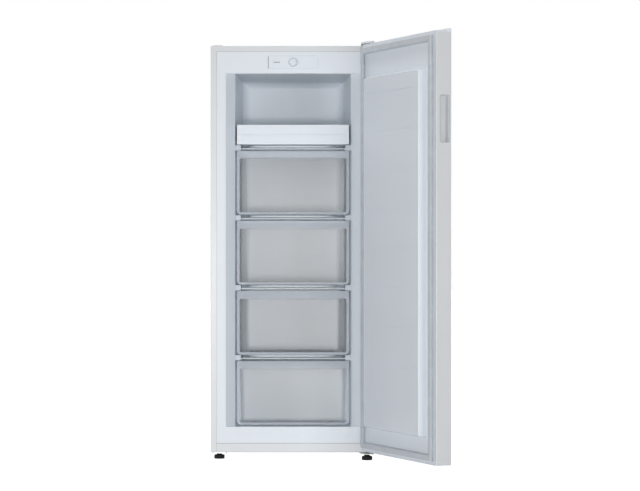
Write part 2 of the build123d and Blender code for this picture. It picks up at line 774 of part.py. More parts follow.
def control_fascia():
    z1 = TOP_Z - FLANGE_W
    panel = block(-LIP_X, LIP_X, FRONT, FRONT + FASCIA_T, MOUTH_TOP, z1)
    core = LIP_X - JOINT_W
    border = block(-LIP_X, LIP_X, FRONT - 1, FRONT + JOINT_D, MOUTH_TOP, z1)
    panel = panel - (border - block(-core, core, FRONT - 1, BACK, 0, z1 - JOINT_W))
    hole = shaft_hole()
    seat = block(PLATE_X0, PLATE_X1, FRONT - 1, FRONT + PLATE_T / 2, PLATE_Z0, PLATE_Z1)
    gap = block(PLATE_X0 - PLATE_SLOT, PLATE_X1 + PLATE_GAP, FRONT - 1, FRONT + PLATE_T, PLATE_Z0, PLATE_Z1)
    gap = gap - block(PLATE_X0, PLATE_X1, FRONT + PLATE_T / 2, BACK, PLATE_Z0, PLATE_Z1)
    return panel - hole - seat - gap


def control_plate():
    plate = block(PLATE_X0, PLATE_X1, FRONT - PLATE_T / 2, FRONT + PLATE_T / 2, PLATE_Z0, PLATE_Z1)
    hole = shaft_hole()
    x0, x1 = LENS_X - LENS_W / 2, LENS_X + LENS_W / 2
    slot = block(x0, x1, FRONT - 2, FRONT + 2, KNOB_Z - LENS_H / 2, KNOB_Z + LENS_H / 2)
    return plate - hole - slot


def indicator_lens():
    x0, x1 = LENS_X - LENS_W / 2, LENS_X + LENS_W / 2
    y = FRONT + PLATE_T / 2
    return block(x0, x1, y - LENS_T, y, KNOB_Z - LENS_H / 2, KNOB_Z + LENS_H / 2)


def thermostat_knob():
    """A dished knob with a pointer rib and a blind bore for the shaft."""
    r = KNOB_D / 2
    top = KNOB_GAP + KNOB_H
    rings = [
        (r, KNOB_GAP),
        (r, KNOB_GAP + KNOB_SKIRT),
        (r - KNOB_EDGE, top - KNOB_EDGE),
        (r - 2 * KNOB_EDGE, top),
    ]
    inner = r - KNOB_DISH
    dish = [(inner, top - KNOB_EDGE), (inner + 2 * KNOB_EDGE, top + KNOB_EDGE)]
    knob = faceted(rings, KNOB_FLATS, 0, 0) - faceted(dish, KNOB_FLATS, 0, 0)
    knob = knob + block(-RIB_W / 2, RIB_W / 2, 1, r - KNOB_DISH + 1, top - KNOB_SKIRT, top)
    knob = knob - bar(PIN_FLATS, SHAFT_D + 2 * RUN_FIT, 0, top - KNOB_TOP, 0, 0)
    return Pos(0, FRONT - PLATE_T / 2, KNOB_Z) * Rot(90, 0, 0) * knob


def thermostat_body():
    """The switch behind the fascia, with the shaft that carries the knob."""
    y0 = FRONT + FASCIA_T
    case = block(-STAT_W / 2, STAT_W / 2, y0, y0 + STAT_D, KNOB_Z - STAT_H / 2, KNOB_Z + STAT_H / 2)
    length = FASCIA_T + PLATE_T / 2 + KNOB_GAP + KNOB_H - KNOB_TOP - 1
    shaft = Pos(0, y0, KNOB_Z) * Rot(90, 0, 0) * pin(SHAFT_D, 0, length, 0, 0)
    return case + shaft


# ---- Door ----------------------------------------------------------------------------------
def door_skin():
    inner = DOOR_HALF - DOOR_RETURN
    points = [
        (-inner, DOOR_IN),
        (-DOOR_HALF, DOOR_IN),
        (-DOOR_HALF, DOOR_OUT),
        (DOOR_HALF, DOOR_OUT),
        (DOOR_HALF, DOOR_IN),
        (inner, DOOR_IN),
    ]
    radii = [BEND_R, DOOR_R, DOOR_R, BEND_R]
    skin = plan(folded(points, radii, Side.LEFT), DOOR_Z0 + CAP_T, DOOR_Z1 - CAP_T)
    return skin - grip_block(0)


def grip_block(inset):
    """The handle recess's outline in the door's free edge, as a cutter."""
    y0 = DOOR_OUT + GRIP_EDGE + inset
    y1 = DOOR_OUT + GRIP_EDGE + GRIP_W - inset
    corners = [(y0, GRIP_Z0 + inset), (y1, GRIP_Z0 + inset), (y1, GRIP_Z1 - inset), (y0, GRIP_Z1 - inset)]
    return profile(rounded(corners, GRIP_R - inset), -DOOR_HALF - 1, -DOOR_HALF + GRIP_DEEP)


def handle_cup():
    """A moulded cup let into the free edge: its floor slopes so that fingers pull on the front wall."""
    cup = grip_block(0) & block(-DOOR_HALF, 0, DOOR_OUT, DOOR_IN, GRIP_Z0, GRIP_Z1)
    y0 = DOOR_OUT + GRIP_EDGE + GRIP_RIM
    y1 = DOOR_OUT + GRIP_EDGE + GRIP_W - GRIP_RIM
    deep = -DOOR_HALF + GRIP_DEEP - GRIP_WALL
    corners = [
        (-DOOR_HALF - 1, y0),
        (deep, y0),
        (deep - GRIP_SLOPE, y1),
        (-DOOR_HALF - 1, y1),
    ]
    hollow = plan(rounded(corners, [0, GRIP_RIM, GRIP_RIM, 0]), GRIP_Z0 + GRIP_RIM, GRIP_Z1 - GRIP_RIM)
    return cup - hollow


def door_plan(inset, radius):
    half = DOOR_HALF - inset
    corners = [
        (-half, DOOR_OUT + inset),
        (half, DOOR_OUT + inset),
        (half, DOOR_IN - inset),
        (-half, DOOR_IN - inset),
    ]
    return rounded(corners, [radius, radius, BEND_R, BEND_R])


def door_cap(z_out, z_in, skirt_z):
    """An end cap: a plate flush with the skin, a skirt inside it and a boss for the hinge bush."""
    plate = plan(door_plan(0, DOOR_R), min(z_out, z_in), max(z_out, z_in))
    low, high = min(z_in, skirt_z), max(z_in, skirt_z)
    x, y0 = DOOR_HALF - SHEET - CAP_FIT, DOOR_OUT + SHEET + CAP_FIT
    y1 = DOOR_IN - PANEL_T - CAP_FIT
    skirt = plan(cut_corners(x, x, y0, y1, CORNER_CUT), low, high)
    x, y0, y1 = x - CAP_WALL, y0 + CAP_WALL, y1 - CAP_WALL
    skirt = skirt - plan(cut_corners(x, x, y0, y1, CORNER_CUT), low, high)
    boss_end = z_out + (BUSH_H + CAP_WALL) * (1 if z_in > z_out else -1)
    low, high = min(z_in, boss_end), max(z_in, boss_end)
    boss = bar(DRIER_FLATS, BOSS_D, low, high, HINGE_X, HINGE_Y)
    boss = boss & block(-DOOR_HALF, DOOR_HALF - SHEET - CAP_FIT, DOOR_OUT, DOOR_IN, low, high)
    return plate + skirt + boss


def door_top_cap():
    cap = door_cap(DOOR_Z1, DOOR_Z1 - CAP_T, DOOR_Z1 - CAP_T - CAP_SKIRT)
    end = DOOR_HALF - RIM_NOTCH
    side = [
        (DOOR_OUT, DOOR_Z1 - 1),
        (DOOR_OUT + RIM_T, DOOR_Z1 - 1),
        (DOOR_OUT + RIM_T, DOOR_Z1),
        (DOOR_OUT + RIM_T - RIM_SLOPE, DOOR_Z1 + RIM_H),
        (DOOR_OUT, DOOR_Z1 + RIM_H),
    ]
    rim = profile(make_face(Polyline(*side, close=True)), -DOOR_HALF, end)
    rim = rim & plan(door_plan(0, DOOR_R), DOOR_Z1 - 1, DOOR_Z1 + RIM_H)
    bore = rod(BUSH_D + BUSH_FIT, BUSH_H, HINGE_X, HINGE_Y, DOOR_Z1 - BUSH_H)
    return cap + rim - bore


def door_bottom_cap():
    cap = door_cap(DOOR_Z0, DOOR_Z0 + CAP_T, DOOR_Z0 + CAP_T + CAP_SKIRT)
    return cap - rod(BUSH_D + BUSH_FIT, BUSH_H, HINGE_X, HINGE_Y, DOOR_Z0)


def hinge_bush(z0):
    bush = rod(BUSH_D, BUSH_H, HINGE_X, HINGE_Y, z0)
    return bush - bar(PIN_FLATS, PIN_D + 2 * RUN_FIT, z0, z0 + BUSH_H, HINGE_X, HINGE_Y)


def plateau(grow, foot):
    """The raised field of the door's inner panel, as a solid block on the plane foot."""
    half = DOOR_HALF - PLATEAU_INSET + grow
    low, high = PLATEAU_Z0 - grow, PLATEAU_Z1 + grow
    seen = Plane(origin=(0, foot, 0), x_dir=(1, 0, 0), z_dir=(0, -1, 0))
    face = seen * cut_corners(half, half, low, high, PLATEAU_CUT + grow / 2)
    rise = DOOR_IN + PLATEAU_H + grow - foot
    lean = degrees(atan(PLATEAU_SLOPE / PLATEAU_H))
    return extrude(face, amount=rise, dir=(0, 1, 0), taper=lean)


def door_panel():
    """The moulded inner panel: a flange under the gasket and a raised field with shallow grooves."""
    half = DOOR_HALF - DOOR_RETURN
    z0, z1 = DOOR_Z0 + CAP_T, DOOR_Z1 - CAP_T
    flange = block(-half, half, DOOR_IN - PANEL_T, DOOR_IN, z0, z1)
    outside = plateau(0, DOOR_IN - 0.5)
    inside = plateau(-PANEL_T, DOOR_IN - PANEL_T - 1)
    panel = flange + outside - inside
    reach = DOOR_W * GROOVE_SHARE
    face = DOOR_IN + PLATEAU_H
    middle = (DOOR_Z0 + DOOR_Z1) / 2
    for i in range(GROOVES):
        z = middle + (i - (GROOVES - 1) / 2) * GROOVE_PITCH
        panel = panel - block(-reach, reach, face - GROOVE_H, face + 1, z - GROOVE_W / 2, z + GROOVE_W / 2)
    return panel


def door_gasket():
    """A magnetic seal: a foot on the panel, a narrow bellows and a head that meets the cabinet."""
    middle = GASKET_IN + GASKET_W / 2
    steps = [
        (GASKET_W, DOOR_IN, DOOR_IN + GASKET_FOOT),
        (GASKET_WAIST, DOOR_IN + GASKET_FOOT, DOOR_IN + GASKET_H - GASKET_HEAD),
        (GASKET_FACE, DOOR_IN + GASKET_H - GASKET_HEAD, DOOR_IN + GASKET_H),
    ]

    def frame(inset, y0, y1):
        half = DOOR_HALF - inset
        return block(-half, half, y0, y1, DOOR_Z0 + inset, DOOR_Z1 - inset)

    seal = None
    for width, y0, y1 in steps:
        out, inn = middle - width / 2, middle + width / 2
        ring = frame(out, y0, y1) - frame(inn, y0, y1)
        seal = ring if seal is None else seal + ring
    return seal


def door_insulation(others):
    """Foam between the two caps' skirts, and in the raised field of the inner panel."""
    inset = SHEET + CORNER_CUT
    z0, z1 = DOOR_Z0 + CAP_T + CAP_SKIRT, DOOR_Z1 - CAP_T - CAP_SKIRT
    y0, y1 = DOOR_OUT + SHEET, DOOR_IN - PANEL_T
    core = block(-DOOR_HALF + inset, DOOR_HALF - inset, y0, y1, z0, z1)
    core = core + block(SHEET - DOOR_HALF, DOOR_HALF - SHEET, y0 + CORNER_CUT, y1 - CORNER_CUT, z0, z1)
    core = core + plateau(-PANEL_T, y1 - 1)
    grip_end = DOOR_OUT + GRIP_EDGE + GRIP_W
    core = core - block(-DOOR_HALF, -DOOR_HALF + GRIP_DEEP, DOOR_OUT, grip_end, GRIP_Z0, GRIP_Z1)
    reach = BUSH_H + CAP_WALL
    half = BOSS_D / 2
    for low in (DOOR_Z0, DOOR_Z1 - reach):
        core = core - block(HINGE_X - half, HINGE_X + half, HINGE_Y - half, HINGE_Y + half, low, low + reach)
    for other in others:
        core = core - other
    return max(core.solids(), key=lambda solid: solid.volume)


def swung(shape):
    """The door's pieces as the photo shows them: turned open about the hinge line."""
    return shape.rotate(Axis((HINGE_X, HINGE_Y, 0), (0, 0, 1)), REST_ANGLE)


# ---- Hinges and feet -----------------------------------------------------------------------
def leaf_plan(front_r, rear):
    """A rectangle on the cabinet drawn out to a round nose on the hinge line."""
    nose = Pos(HINGE_X, HINGE_Y) * Circle(front_r)
    pad = Pos((LEAF_X0 + LEAF_X1) / 2, FRONT + rear / 2) * Rectangle(LEAF_X1 - LEAF_X0, rear)
    return make_hull(nose.edges() + pad.edges())


def upper_hinge_bracket():
    """A steel leaf with a joggle, so that its nose passes over the door."""
    bend = FRONT + LEAF_BEND
    head = TOP_Z + JOGGLE + PLATE_STEEL
    outline = plan(leaf_plan(LEAF_NOSE, LEAF_REAR - 2 * COVER_WALL), TOP_Z, head)
    low = block(0, HALF_W, bend, BACK, TOP_Z, TOP_Z + PLATE_STEEL)
    high = block(0, HALF_W, DOOR_OUT, bend + PLATE_STEEL, TOP_Z + JOGGLE, head)
    web = block(0, HALF_W, bend, bend + PLATE_STEEL, TOP_Z, TOP_Z + JOGGLE)
    leaf = outline & (low + high + web)
    for x, y in upper_screw_spots():
        leaf = leaf - bar(HOLE_FLATS, SCREW_D + 2 * HOLE_FIT, TOP_Z, TOP_Z + PLATE_STEEL, x, y)
    return leaf - pin(PIN_D, TOP_Z, head, HINGE_X, HINGE_Y)


def upper_screw_spots():
    middle = (LEAF_X0 + LEAF_X1) / 2
    y = FRONT + UPPER_SCREW_D
    return [(middle - UPPER_SCREW_X, y), (middle + UPPER_SCREW_X, y), (middle, y + UPPER_SCREW_BACK)]


def upper_hinge_pin():
    head = TOP_Z + JOGGLE + PLATE_STEEL
    low = DOOR_Z1 - BUSH_H + PIN_SHORT
    shank = pin(PIN_D, low, head, HINGE_X, HINGE_Y)
    return shank + bar(DRIER_FLATS, PIN_HEAD, head, head + PIN_HEAD_H, HINGE_X, HINGE_Y)


def upper_hinge_cover():
    """A plastic hood over the leaf, open underneath."""
    low = TOP_Z + JOGGLE + PLATE_STEEL + COVER_FIT
    cover_top = TOP_Z + COVER_H
    rear = FRONT + LEAF_REAR - COVER_WALL
    nose = LEAF_NOSE + 1
    outside = plan(leaf_plan(nose, LEAF_REAR), low, cover_top)
    skirt = plan(leaf_plan(nose, LEAF_REAR), TOP_Z, low) & block(0, HALF_W, rear, BACK, TOP_Z, low)
    hollow = plan(leaf_plan(nose - COVER_WALL, LEAF_REAR), low - 1, cover_top - COVER_WALL)
    hollow = hollow & block(LEAF_X0 + COVER_WALL, LEAF_X1 - COVER_WALL, DOOR_OUT, rear, low - 1, cover_top)
    return outside - hollow + skirt


def corner_screws():
    """Hexagon-headed screws: those of the upper hinge point down, those under the corners up."""
    pieces = []
    for x, y in upper_screw_spots():
        z = TOP_Z + PLATE_STEEL
        head = bar(HEAD_FLATS, SCREW_HEAD, z, z + HEAD_H, x, y)
        pieces.append(head + bar(HOLE_FLATS, SCREW_D, z - SCREW_L, z, x, y))
    for x, y in lower_screw_spots(1) + lower_screw_spots(-1):
        z = BASE_Z - LOW_STEEL
        head = bar(HEAD_FLATS, SCREW_HEAD, z - HEAD_H, z, x, y)
        pieces.append(head + bar(HOLE_FLATS, SCREW_D, z, z + SCREW_L, x, y))
    return group(pieces)


def hinge_hole_cover():
    y0 = FRONT + CAP_COVER_IN
    lid = block(CAP_COVER_X0, CAP_COVER_X1, y0, y0 + CAP_COVER_D, TOP_Z, TOP_Z + CAP_COVER_H)
    return chamfer(lid.edges().filter_by(Axis.Z), CORNER_CUT)


def lower_screw_spots(sign):
    y = FRONT + LOWER_SCREW_D
    return [(sign * (FOOT_X - LOWER_SCREW_X), y), (sign * (FOOT_X + LOWER_SCREW_X), y)]


def lower_hinge_bracket():
    """A plate under the cabinet that carries the hinge pin and the right-hand foot."""
    z0 = BASE_Z - LOW_STEEL
    nose = Pos(HINGE_X, HINGE_Y) * Circle(LEAF_NOSE)
    foot = Pos(FOOT_X, FRONT + FOOT_RIGHT_D) * Circle(LOW_FOOT_R)
    x0, x1 = FOOT_X - LOW_HALF, HALF_W - LOW_MARGIN
    pad = Pos((x0 + x1) / 2, FRONT + LOW_REAR / 2) * Rectangle(x1 - x0, LOW_REAR)
    plate = plan(make_hull(nose.edges() + foot.edges() + pad.edges()), z0, BASE_Z)
    plate = plate - pin(PIN_D, z0, BASE_Z, HINGE_X, HINGE_Y)
    plate = plate - bar(PIN_FLATS, FOOT_STEM + 2 * RUN_FIT, z0, BASE_Z, FOOT_X, FRONT + FOOT_RIGHT_D)
    for x, y in lower_screw_spots(1):
        plate = plate - bar(HOLE_FLATS, SCREW_D + 2 * HOLE_FIT, z0, BASE_Z, x, y)
    return plate


def foot_plate():
    """The left-hand foot's plate under the cabinet."""
    z0 = BASE_Z - LOW_STEEL
    x0, x1 = -HALF_W + LOW_MARGIN, -FOOT_X + LOW_HALF
    plate = block(x0, x1, FRONT + LOW_MARGIN, FRONT + LOW_REAR + LOW_MARGIN, z0, BASE_Z)
    plate = chamfer(plate.edges().filter_by(Axis.Z), CORNER_CUT)
    plate = plate - bar(PIN_FLATS, FOOT_STEM + 2 * RUN_FIT, z0, BASE_Z, -FOOT_X, FRONT + FOOT_LEFT_D)
    for x, y in lower_screw_spots(-1):
        plate = plate - bar(HOLE_FLATS, SCREW_D + 2 * HOLE_FIT, z0, BASE_Z, x, y)
    return plate


def lower_hinge_pin():
    z0 = BASE_Z - LOW_STEEL
    shank = pin(PIN_D, z0, DOOR_Z0 + BUSH_H - PIN_SHORT, HINGE_X, HINGE_Y)
    washer = bar(DRIER_FLATS, PIN_COLLAR, BASE_Z, DOOR_Z0 - PIN_GAP, HINGE_X, HINGE_Y)
    return shank + washer


def front_foot(x, y):
    """A screw-in levelling foot."""
    neck = BASE_Z - LOW_STEEL - FOOT_GAP
    r = FOOT_D / 2
    rings = [
        (r - FOOT_EDGE, 0),
        (r, FOOT_EDGE),
        (r, FOOT_DISC - 2 * FOOT_EDGE),
        (r - FOOT_EDGE, FOOT_DISC),
        (FOOT_NECK / 2, FOOT_DISC + 2 * FOOT_EDGE),
        (FOOT_NECK / 2, neck),
    ]
    return faceted(rings, FOOT_FLATS, x, y) + pin(FOOT_STEM, neck, STEM_TOP, x, y)


# ---- Compressor bay ------------------------------------------------------------------------
def compressor_rail():
    """A channel across the bay that carries the compressor and the rear rollers."""
    t = RAIL_T
    y0, y1 = FRONT + RAIL_Y0, FRONT + RAIL_Y1
    z = BASE_Z
    side = [
        (y0, z + RAIL_UP / 2),
        (y0, z),
        (y1, z),
        (y1, z + RAIL_UP),
        (y1 - t, z + RAIL_UP),
        (y1 - t, z + t),
        (y0 + t, z + t),
        (y0 + t, z + RAIL_UP / 2),
    ]
    rail = profile(make_face(Polyline(*side, close=True)), -INNER_W, INNER_W)
    for x, y in leg_spots():
        rail = rail - bar(HOLE_FLATS, BOLT_D, z - t, z + 2 * t, x, y)
    hole = gland_place() * bar(DRIER_FLATS, GLAND_D - 2 * GLAND_RIM + 2 * HOLE_FIT, -6 * t, 6 * t, 0, 0)
    return rail - hole


def leg_spots():
    dx, dy = LEG_W / 2 - LEG_INSET, LEG_D / 2 - LEG_INSET
    return [(COMP_X + sx * dx, FRONT + COMP_Y + sy * dy) for sx in (-1, 1) for sy in (-1, 1)]


def compressor():
    """A welded pot in two shells on a leg plate."""
    x, y = COMP_X, FRONT + COMP_Y
    floor = BASE_Z + RAIL_T + GROMMET_SEAT
    r = COMP_D / 2
    seam = floor + COMP_SEAM
    rings = [(r * share, floor + height) for share, height in POT_LOW]
    rings += [(r + SHELL_SEAM, seam), (r + SHELL_SEAM, seam + SEAM_H)]
    rings += [(r * share, floor + height) for share, height in POT_HIGH]
    pot = faceted(rings, POT_FLATS, x, y)
    half_w, half_d = LEG_W / 2, LEG_D / 2
    legs = plan(cut_corners(half_w, half_w, -half_d, half_d, LEG_CUT), floor, floor + LEG_T)
    legs = Pos(x, y, 0) * legs
    for bx, by in leg_spots():
        legs = legs - bar(HOLE_FLATS, GROMMET_D - GROMMET_STEP, floor - 1, floor + 2 * LEG_T, bx, by)
    return pot + legs


def compressor_grommets():
    """Rubber grommets that sit on the rail and in the leg plate's holes."""
    pieces = []
    floor = BASE_Z + RAIL_T
    for x, y in leg_spots():
        body = bar(HOLE_FLATS, GROMMET_D, floor, floor + GROMMET_SEAT, x, y)
        neck = bar(HOLE_FLATS, GROMMET_D - GROMMET_STEP, floor, floor + GROMMET_H, x, y)
        bolt = bar(HOLE_FLATS, BOLT_D, floor - 1, floor + GROMMET_H + 1, x, y)
        pieces.append(body + neck - bolt)
    return group(pieces)


def terminal_cover():
    """The relay and terminal housing on the compressor's left flank."""
    x, y = COMP_X - COMP_D / 2, FRONT + COMP_Y
    z = BASE_Z + TERMINAL_Z
    y0, y1 = y - TERMINAL_W / 2, y + TERMINAL_W / 2
    box = block(x - TERMINAL_OUT, x + TERMINAL_IN, y0, y1, z, z + TERMINAL_H)
    box = chamfer(box.edges().filter_by(Axis.X), TERMINAL_EDGE)
    reach = COMP_D / 2 + SHELL_SEAM + HOLE_FIT
    return box - faceted([(reach, 0), (reach, 2 * COMP_TOP)], POT_FLATS, COMP_X, y)


def filter_drier():
    """A copper capsule with a swaged neck at each end."""
    neck = DRIER_SWAGE / 2
    rings = [
        (neck, 0),
        (neck, DRIER_NECK),
        (DRIER_D / 2, 2 * DRIER_NECK),
        (DRIER_D / 2, DRIER_L - 2 * DRIER_NECK),
        (neck, DRIER_L - DRIER_NECK),
        (neck, DRIER_L),
    ]
    rings = [(radius, DRIER_Z + height) for radius, height in rings]
    return faceted(rings, DRIER_FLATS, DRIER_X, FRONT + COMP_Y)


def gland_place():
    """Where the mains lead's gland sits in the rail, with its own Z pointing to the back."""
    return Pos(GLAND_X, FRONT + RAIL_Y1, BASE_Z + RAIL_T + GLAND_D / 2 + GLAND_RISE) * Rot(-90, 0, 0)


def cord_gland():
    """A short flanged bushing in the rail, where a mains lead would leave."""
    body = bar(DRIER_FLATS, GLAND_D - 2 * GLAND_RIM, -GLAND_IN, GLAND_OUT, 0, 0)
    rim = bar(DRIER_FLATS, GLAND_D, 0, GLAND_OUT, 0, 0)
    return gland_place() * (body + rim - rod(LEAD_D, 2 * GLAND_D, 0, 0, -GLAND_D))


def roller_bracket(sign):
    """An inverted fork under the rail."""
    x = sign * ROLLER_X
    y = FRONT + ROLLER_Y
    out = ROLLER_W / 2 + EAR_GAP + EAR_T
    inn = out - EAR_T
    centre = ROLLER_D / 2
    low = centre - EAR_H
    face = [
        (x - out, low),
        (x - out, BASE_Z),
        (x + out, BASE_Z),
        (x + out, low),
        (x + inn, low),
        (x + inn, BASE_Z - FORK_TOP),
        (x - inn, BASE_Z - FORK_TOP),
        (x - inn, low),
    ]
    fork = elevation(make_face(Polyline(*face, close=True)), y - EAR_W / 2, y + EAR_W / 2)
    hole = Pos(x, y, centre) * Rot(0, 90, 0) * bar(DRIER_FLATS, AXLE_D, -2 * out, 2 * out, 0, 0)
    return fork - hole


def rear_roller(sign):
    r = ROLLER_D / 2
    half = ROLLER_W / 2
    rings = [(r - 1, -half), (r, 1 - half), (r, half - 1), (r - 1, half)]
    wheel = faceted(rings, ROLLER_FLATS, 0, 0) - bar(PIN_FLATS, AXLE_D + 2 * RUN_FIT, -half, half, 0, 0)
    corner_down = Rot(0, 0, 180 / ROLLER_FLATS)
    return Pos(sign * ROLLER_X, FRONT + ROLLER_Y, r) * Rot(0, 90, 0) * corner_down * wheel


def roller_axle(sign):
    out = ROLLER_W / 2 + EAR_GAP + EAR_T
    axle = pin(AXLE_D, -out - 1, out + 1, 0, 0)
    return Pos(sign * ROLLER_X, FRONT + ROLLER_Y, ROLLER_D / 2) * Rot(0, 90, 0) * axle


def refrigerant_lines(pot):
    """Discharge, suction and filling tubes, and the drier's two lines, up to the bay's roof."""
    y = FRONT + COMP_Y
    z = BASE_Z + LINE_Z
    up = BAY_Z + BAY_RISE + LINE_OVER
    left = COMP_X - COMP_D / 2
    right = COMP_X + COMP_D / 2
    rise = left - DISCHARGE_OUT
    discharge = [
        (left + DISCHARGE_IN, y - DISCHARGE_START, z),
        (rise, y - DISCHARGE_END, z),
        (rise, y - DISCHARGE_END, up),
    ]
    level = z - SUCTION_DROP
    suction = [
        (COMP_X, y - SUCTION_START, level),
        (COMP_X, y - SUCTION_END, level),
        (COMP_X, y - SUCTION_END, up),
    ]
    stub = [(right - STUB_IN, y, z), (right + STUB_OUT, y, z), (right + STUB_OUT, y, z + STUB_H)]
    top = DRIER_Z + DRIER_L
    level = top + DRIER_LOOP
    x = DRIER_X - DRIER_STEP
    feed = [(DRIER_X, y, top), (DRIER_X, y, level), (x, y, level), (x, y, up)]
    level = DRIER_Z - CAPILLARY_DROP
    x = DRIER_X - CAPILLARY_STEP
    capillary = [(DRIER_X, y, DRIER_Z), (DRIER_X, y, level), (x, y, level), (x, y, up)]
    runs = [
        (LINE_D, LINE_R, discharge),
        (LINE_D, LINE_R, suction),
        (LINE_D, LINE_R, stub),
        (LINE_D, DRIER_R, feed),
        (CAPILLARY_D, LINE_R, capillary),
    ]
    room = under_base()
    lines = []
    for across, radius, points in runs:
        line = tube(points, [radius] * (len(points) - 2), across)
        lines.append((line & room) - pot)
    return group(lines)


def condenser(sign):
    """The warm tube that is foamed in against a side panel."""
    x = sign * (INNER_W - CONDENSER_D / 2)
    turn = CONDENSER_PITCH / 2
    points = [(CONDENSER_FRONT, CONDENSER_Z0)]
    for run in range(CONDENSER_RUNS - 1):
        z = CONDENSER_Z1 if run % 2 == 0 else CONDENSER_Z0
        depth = CONDENSER_FRONT + CONDENSER_PITCH * run
        points += [(depth, z), (depth + CONDENSER_PITCH, z)]
    last = CONDENSER_FRONT + CONDENSER_PITCH * (CONDENSER_RUNS - 1)
    points.append((last, CONDENSER_Z0 if CONDENSER_RUNS % 2 == 0 else CONDENSER_Z1))
    line = [(x, FRONT + depth, z) for depth, z in points]
    radii = [min(CONDENSER_R, turn)] * (len(line) - 2)
    path = bends(line, radii, BEND_CUTS)
    start = Plane(origin=path @ 0, x_dir=(1, 0, 0), z_dir=path % 0)
    return sweep(start * Rectangle(CONDENSER_D, CONDENSER_D), path=path, transition=Transition.RIGHT)


def cabinet_insulation(others):
    """Foam behind the front plane and inside the warm tubes, with pockets round the corner screws."""
    low, roof = BASE_Z + SHEET, TOP_Z - SHEET
    front = FRONT + FASCIA_T
    side = [
        (FRONT + FLANGE_W, low),
        (PLATE_BACK, low),
        (PLATE_BACK, roof - CORNER_CUT),
        (PLATE_BACK - CORNER_CUT, roof),
        (front, roof),
        (front, RAIL_TOP),
        (FRONT + FLANGE_W, RAIL_TOP),
    ]
    half = INNER_W - CONDENSER_D
    core = profile(make_face(Polyline(*side, close=True)), -half, half)
    core = core - under_base() - liner_outside()
    reach = SCREW_L + 1
    core = core - block(LEAF_X0, HALF_W, FRONT, FRONT + LEAF_REAR, TOP_Z - reach, TOP_Z)
    for sign in (-1, 1):
        x0, x1 = sorted((sign * (FOOT_X - LOW_HALF), sign * HALF_W))
        core = core - block(x0, x1, FRONT, FRONT + LOW_REAR + LOW_MARGIN, 0, BASE_Z + reach)
    for other in others:
        core = core - other
    return max(core.solids(), key=lambda solid: solid.volume)


# ---- The assembly --------------------------------------------------------------------------
def cabinet_parts():
    parts = {
        "left_side_panel": side_panel(-1),
        "right_side_panel": side_panel(1),
        "top_panel": top_panel(),
        "back_panel": back_panel(),
        "back_panel_screws": back_screws(),
        "bottom_rail": bottom_rail(),
        "base_plate": base_plate(),
        "inner_liner": inner_liner(),
        "control_fascia": control_fascia(),
        "control_plate": control_plate(),
        "indicator_lens": indicator_lens(),
        "thermostat_body": thermostat_body(),
        "condenser_tubes": group([condenser(-1), condenser(1)]),
        "upper_hinge_bracket": upper_hinge_bracket(),
        "upper_hinge_pin": upper_hinge_pin(),
        "hinge_and_foot_screws": corner_screws(),
        "upper_hinge_cover": upper_hinge_cover(),
        "hinge_hole_cover": hinge_hole_cover(),
        "lower_hinge_bracket": lower_hinge_bracket(),
        "lower_hinge_pin": lower_hinge_pin(),
        "left_foot_plate": foot_plate(),
    }
    buried = [parts["base_plate"], parts["thermostat_body"]]
    parts["cabinet_insulation"] = cabinet_insulation(buried)
    return parts


def bay_parts():
    pot = compressor()
    parts = {
        "compressor_rail": compressor_rail(),
        "compressor": pot,
        "compressor_grommets": compressor_grommets(),
        "terminal_cover": terminal_cover(),
        "filter_drier": filter_drier(),
        "refrigerant_lines": refrigerant_lines(pot),
        "cord_gland": cord_gland(),
    }
    parts["roller_axles"] = group([roller_axle(-1), roller_axle(1)])
    for side, sign in (("left", -1), ("right", 1)):
        parts[f"{side}_roller_bracket"] = roller_bracket(sign)
        parts[f"{side}_rear_roller"] = rear_roller(sign)
    return parts


def store_parts():
    """Drawers and shelves are numbered from the top down; shelf 1 carries the tray."""
    parts = {}
    for i, level in enumerate(LEVEL[:-1]):
        number = LEVELS - 1 - i
        rear = LOW_TUB_REAR if i == 0 else TUB_REAR
        body, frame = drawer(level, rear)
        parts[f"drawer_{number}"] = body
        parts[f"drawer_{number}_front"] = frame
    parts["top_tray"] = top_tray(LEVEL[-1])
    clips = []
    for i, level in enumerate(LEVEL[1:]):
        shelf = evaporator_shelf(level)
        parts[f"evaporator_shelf_{LEVELS - 1 - i}"] = shelf
        clips.append(shelf_clips(level, shelf))
    parts["shelf_clips"] = group(clips)
    return parts


def door_parts():
    parts = {
        "door_skin": door_skin(),
        "door_inner_panel": door_panel(),
        "door_gasket": door_gasket(),
        "door_top_cap": door_top_cap(),
        "door_bottom_cap": door_bottom_cap(),
        "handle_cup": handle_cup(),
        "hinge_bushes": group([hinge_bush(DOOR_Z1 - BUSH_H), hinge_bush(DOOR_Z0)]),
    }
    parts["door_insulation"] = door_insulation([parts["door_skin"], parts["door_inner_panel"]])
    return {name: swung(shape) for name, shape in parts.items()}


def assembly():
    parts = cabinet_parts() | bay_parts() | store_parts() | door_parts()
    parts["thermostat_knob"] = thermostat_knob()
    parts["right_front_foot"] = front_foot(FOOT_X, FRONT + FOOT_RIGHT_D)
    parts["left_front_foot"] = front_foot(-FOOT_X, FRONT + FOOT_LEFT_D)
    return parts


if __name__ == "__main__":
    for name, shape in assembly().items():
        export_step(shape, f"parts/{name}.step")
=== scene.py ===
import json
import math

import bmesh
import bpy
from mathutils import Matrix, Vector

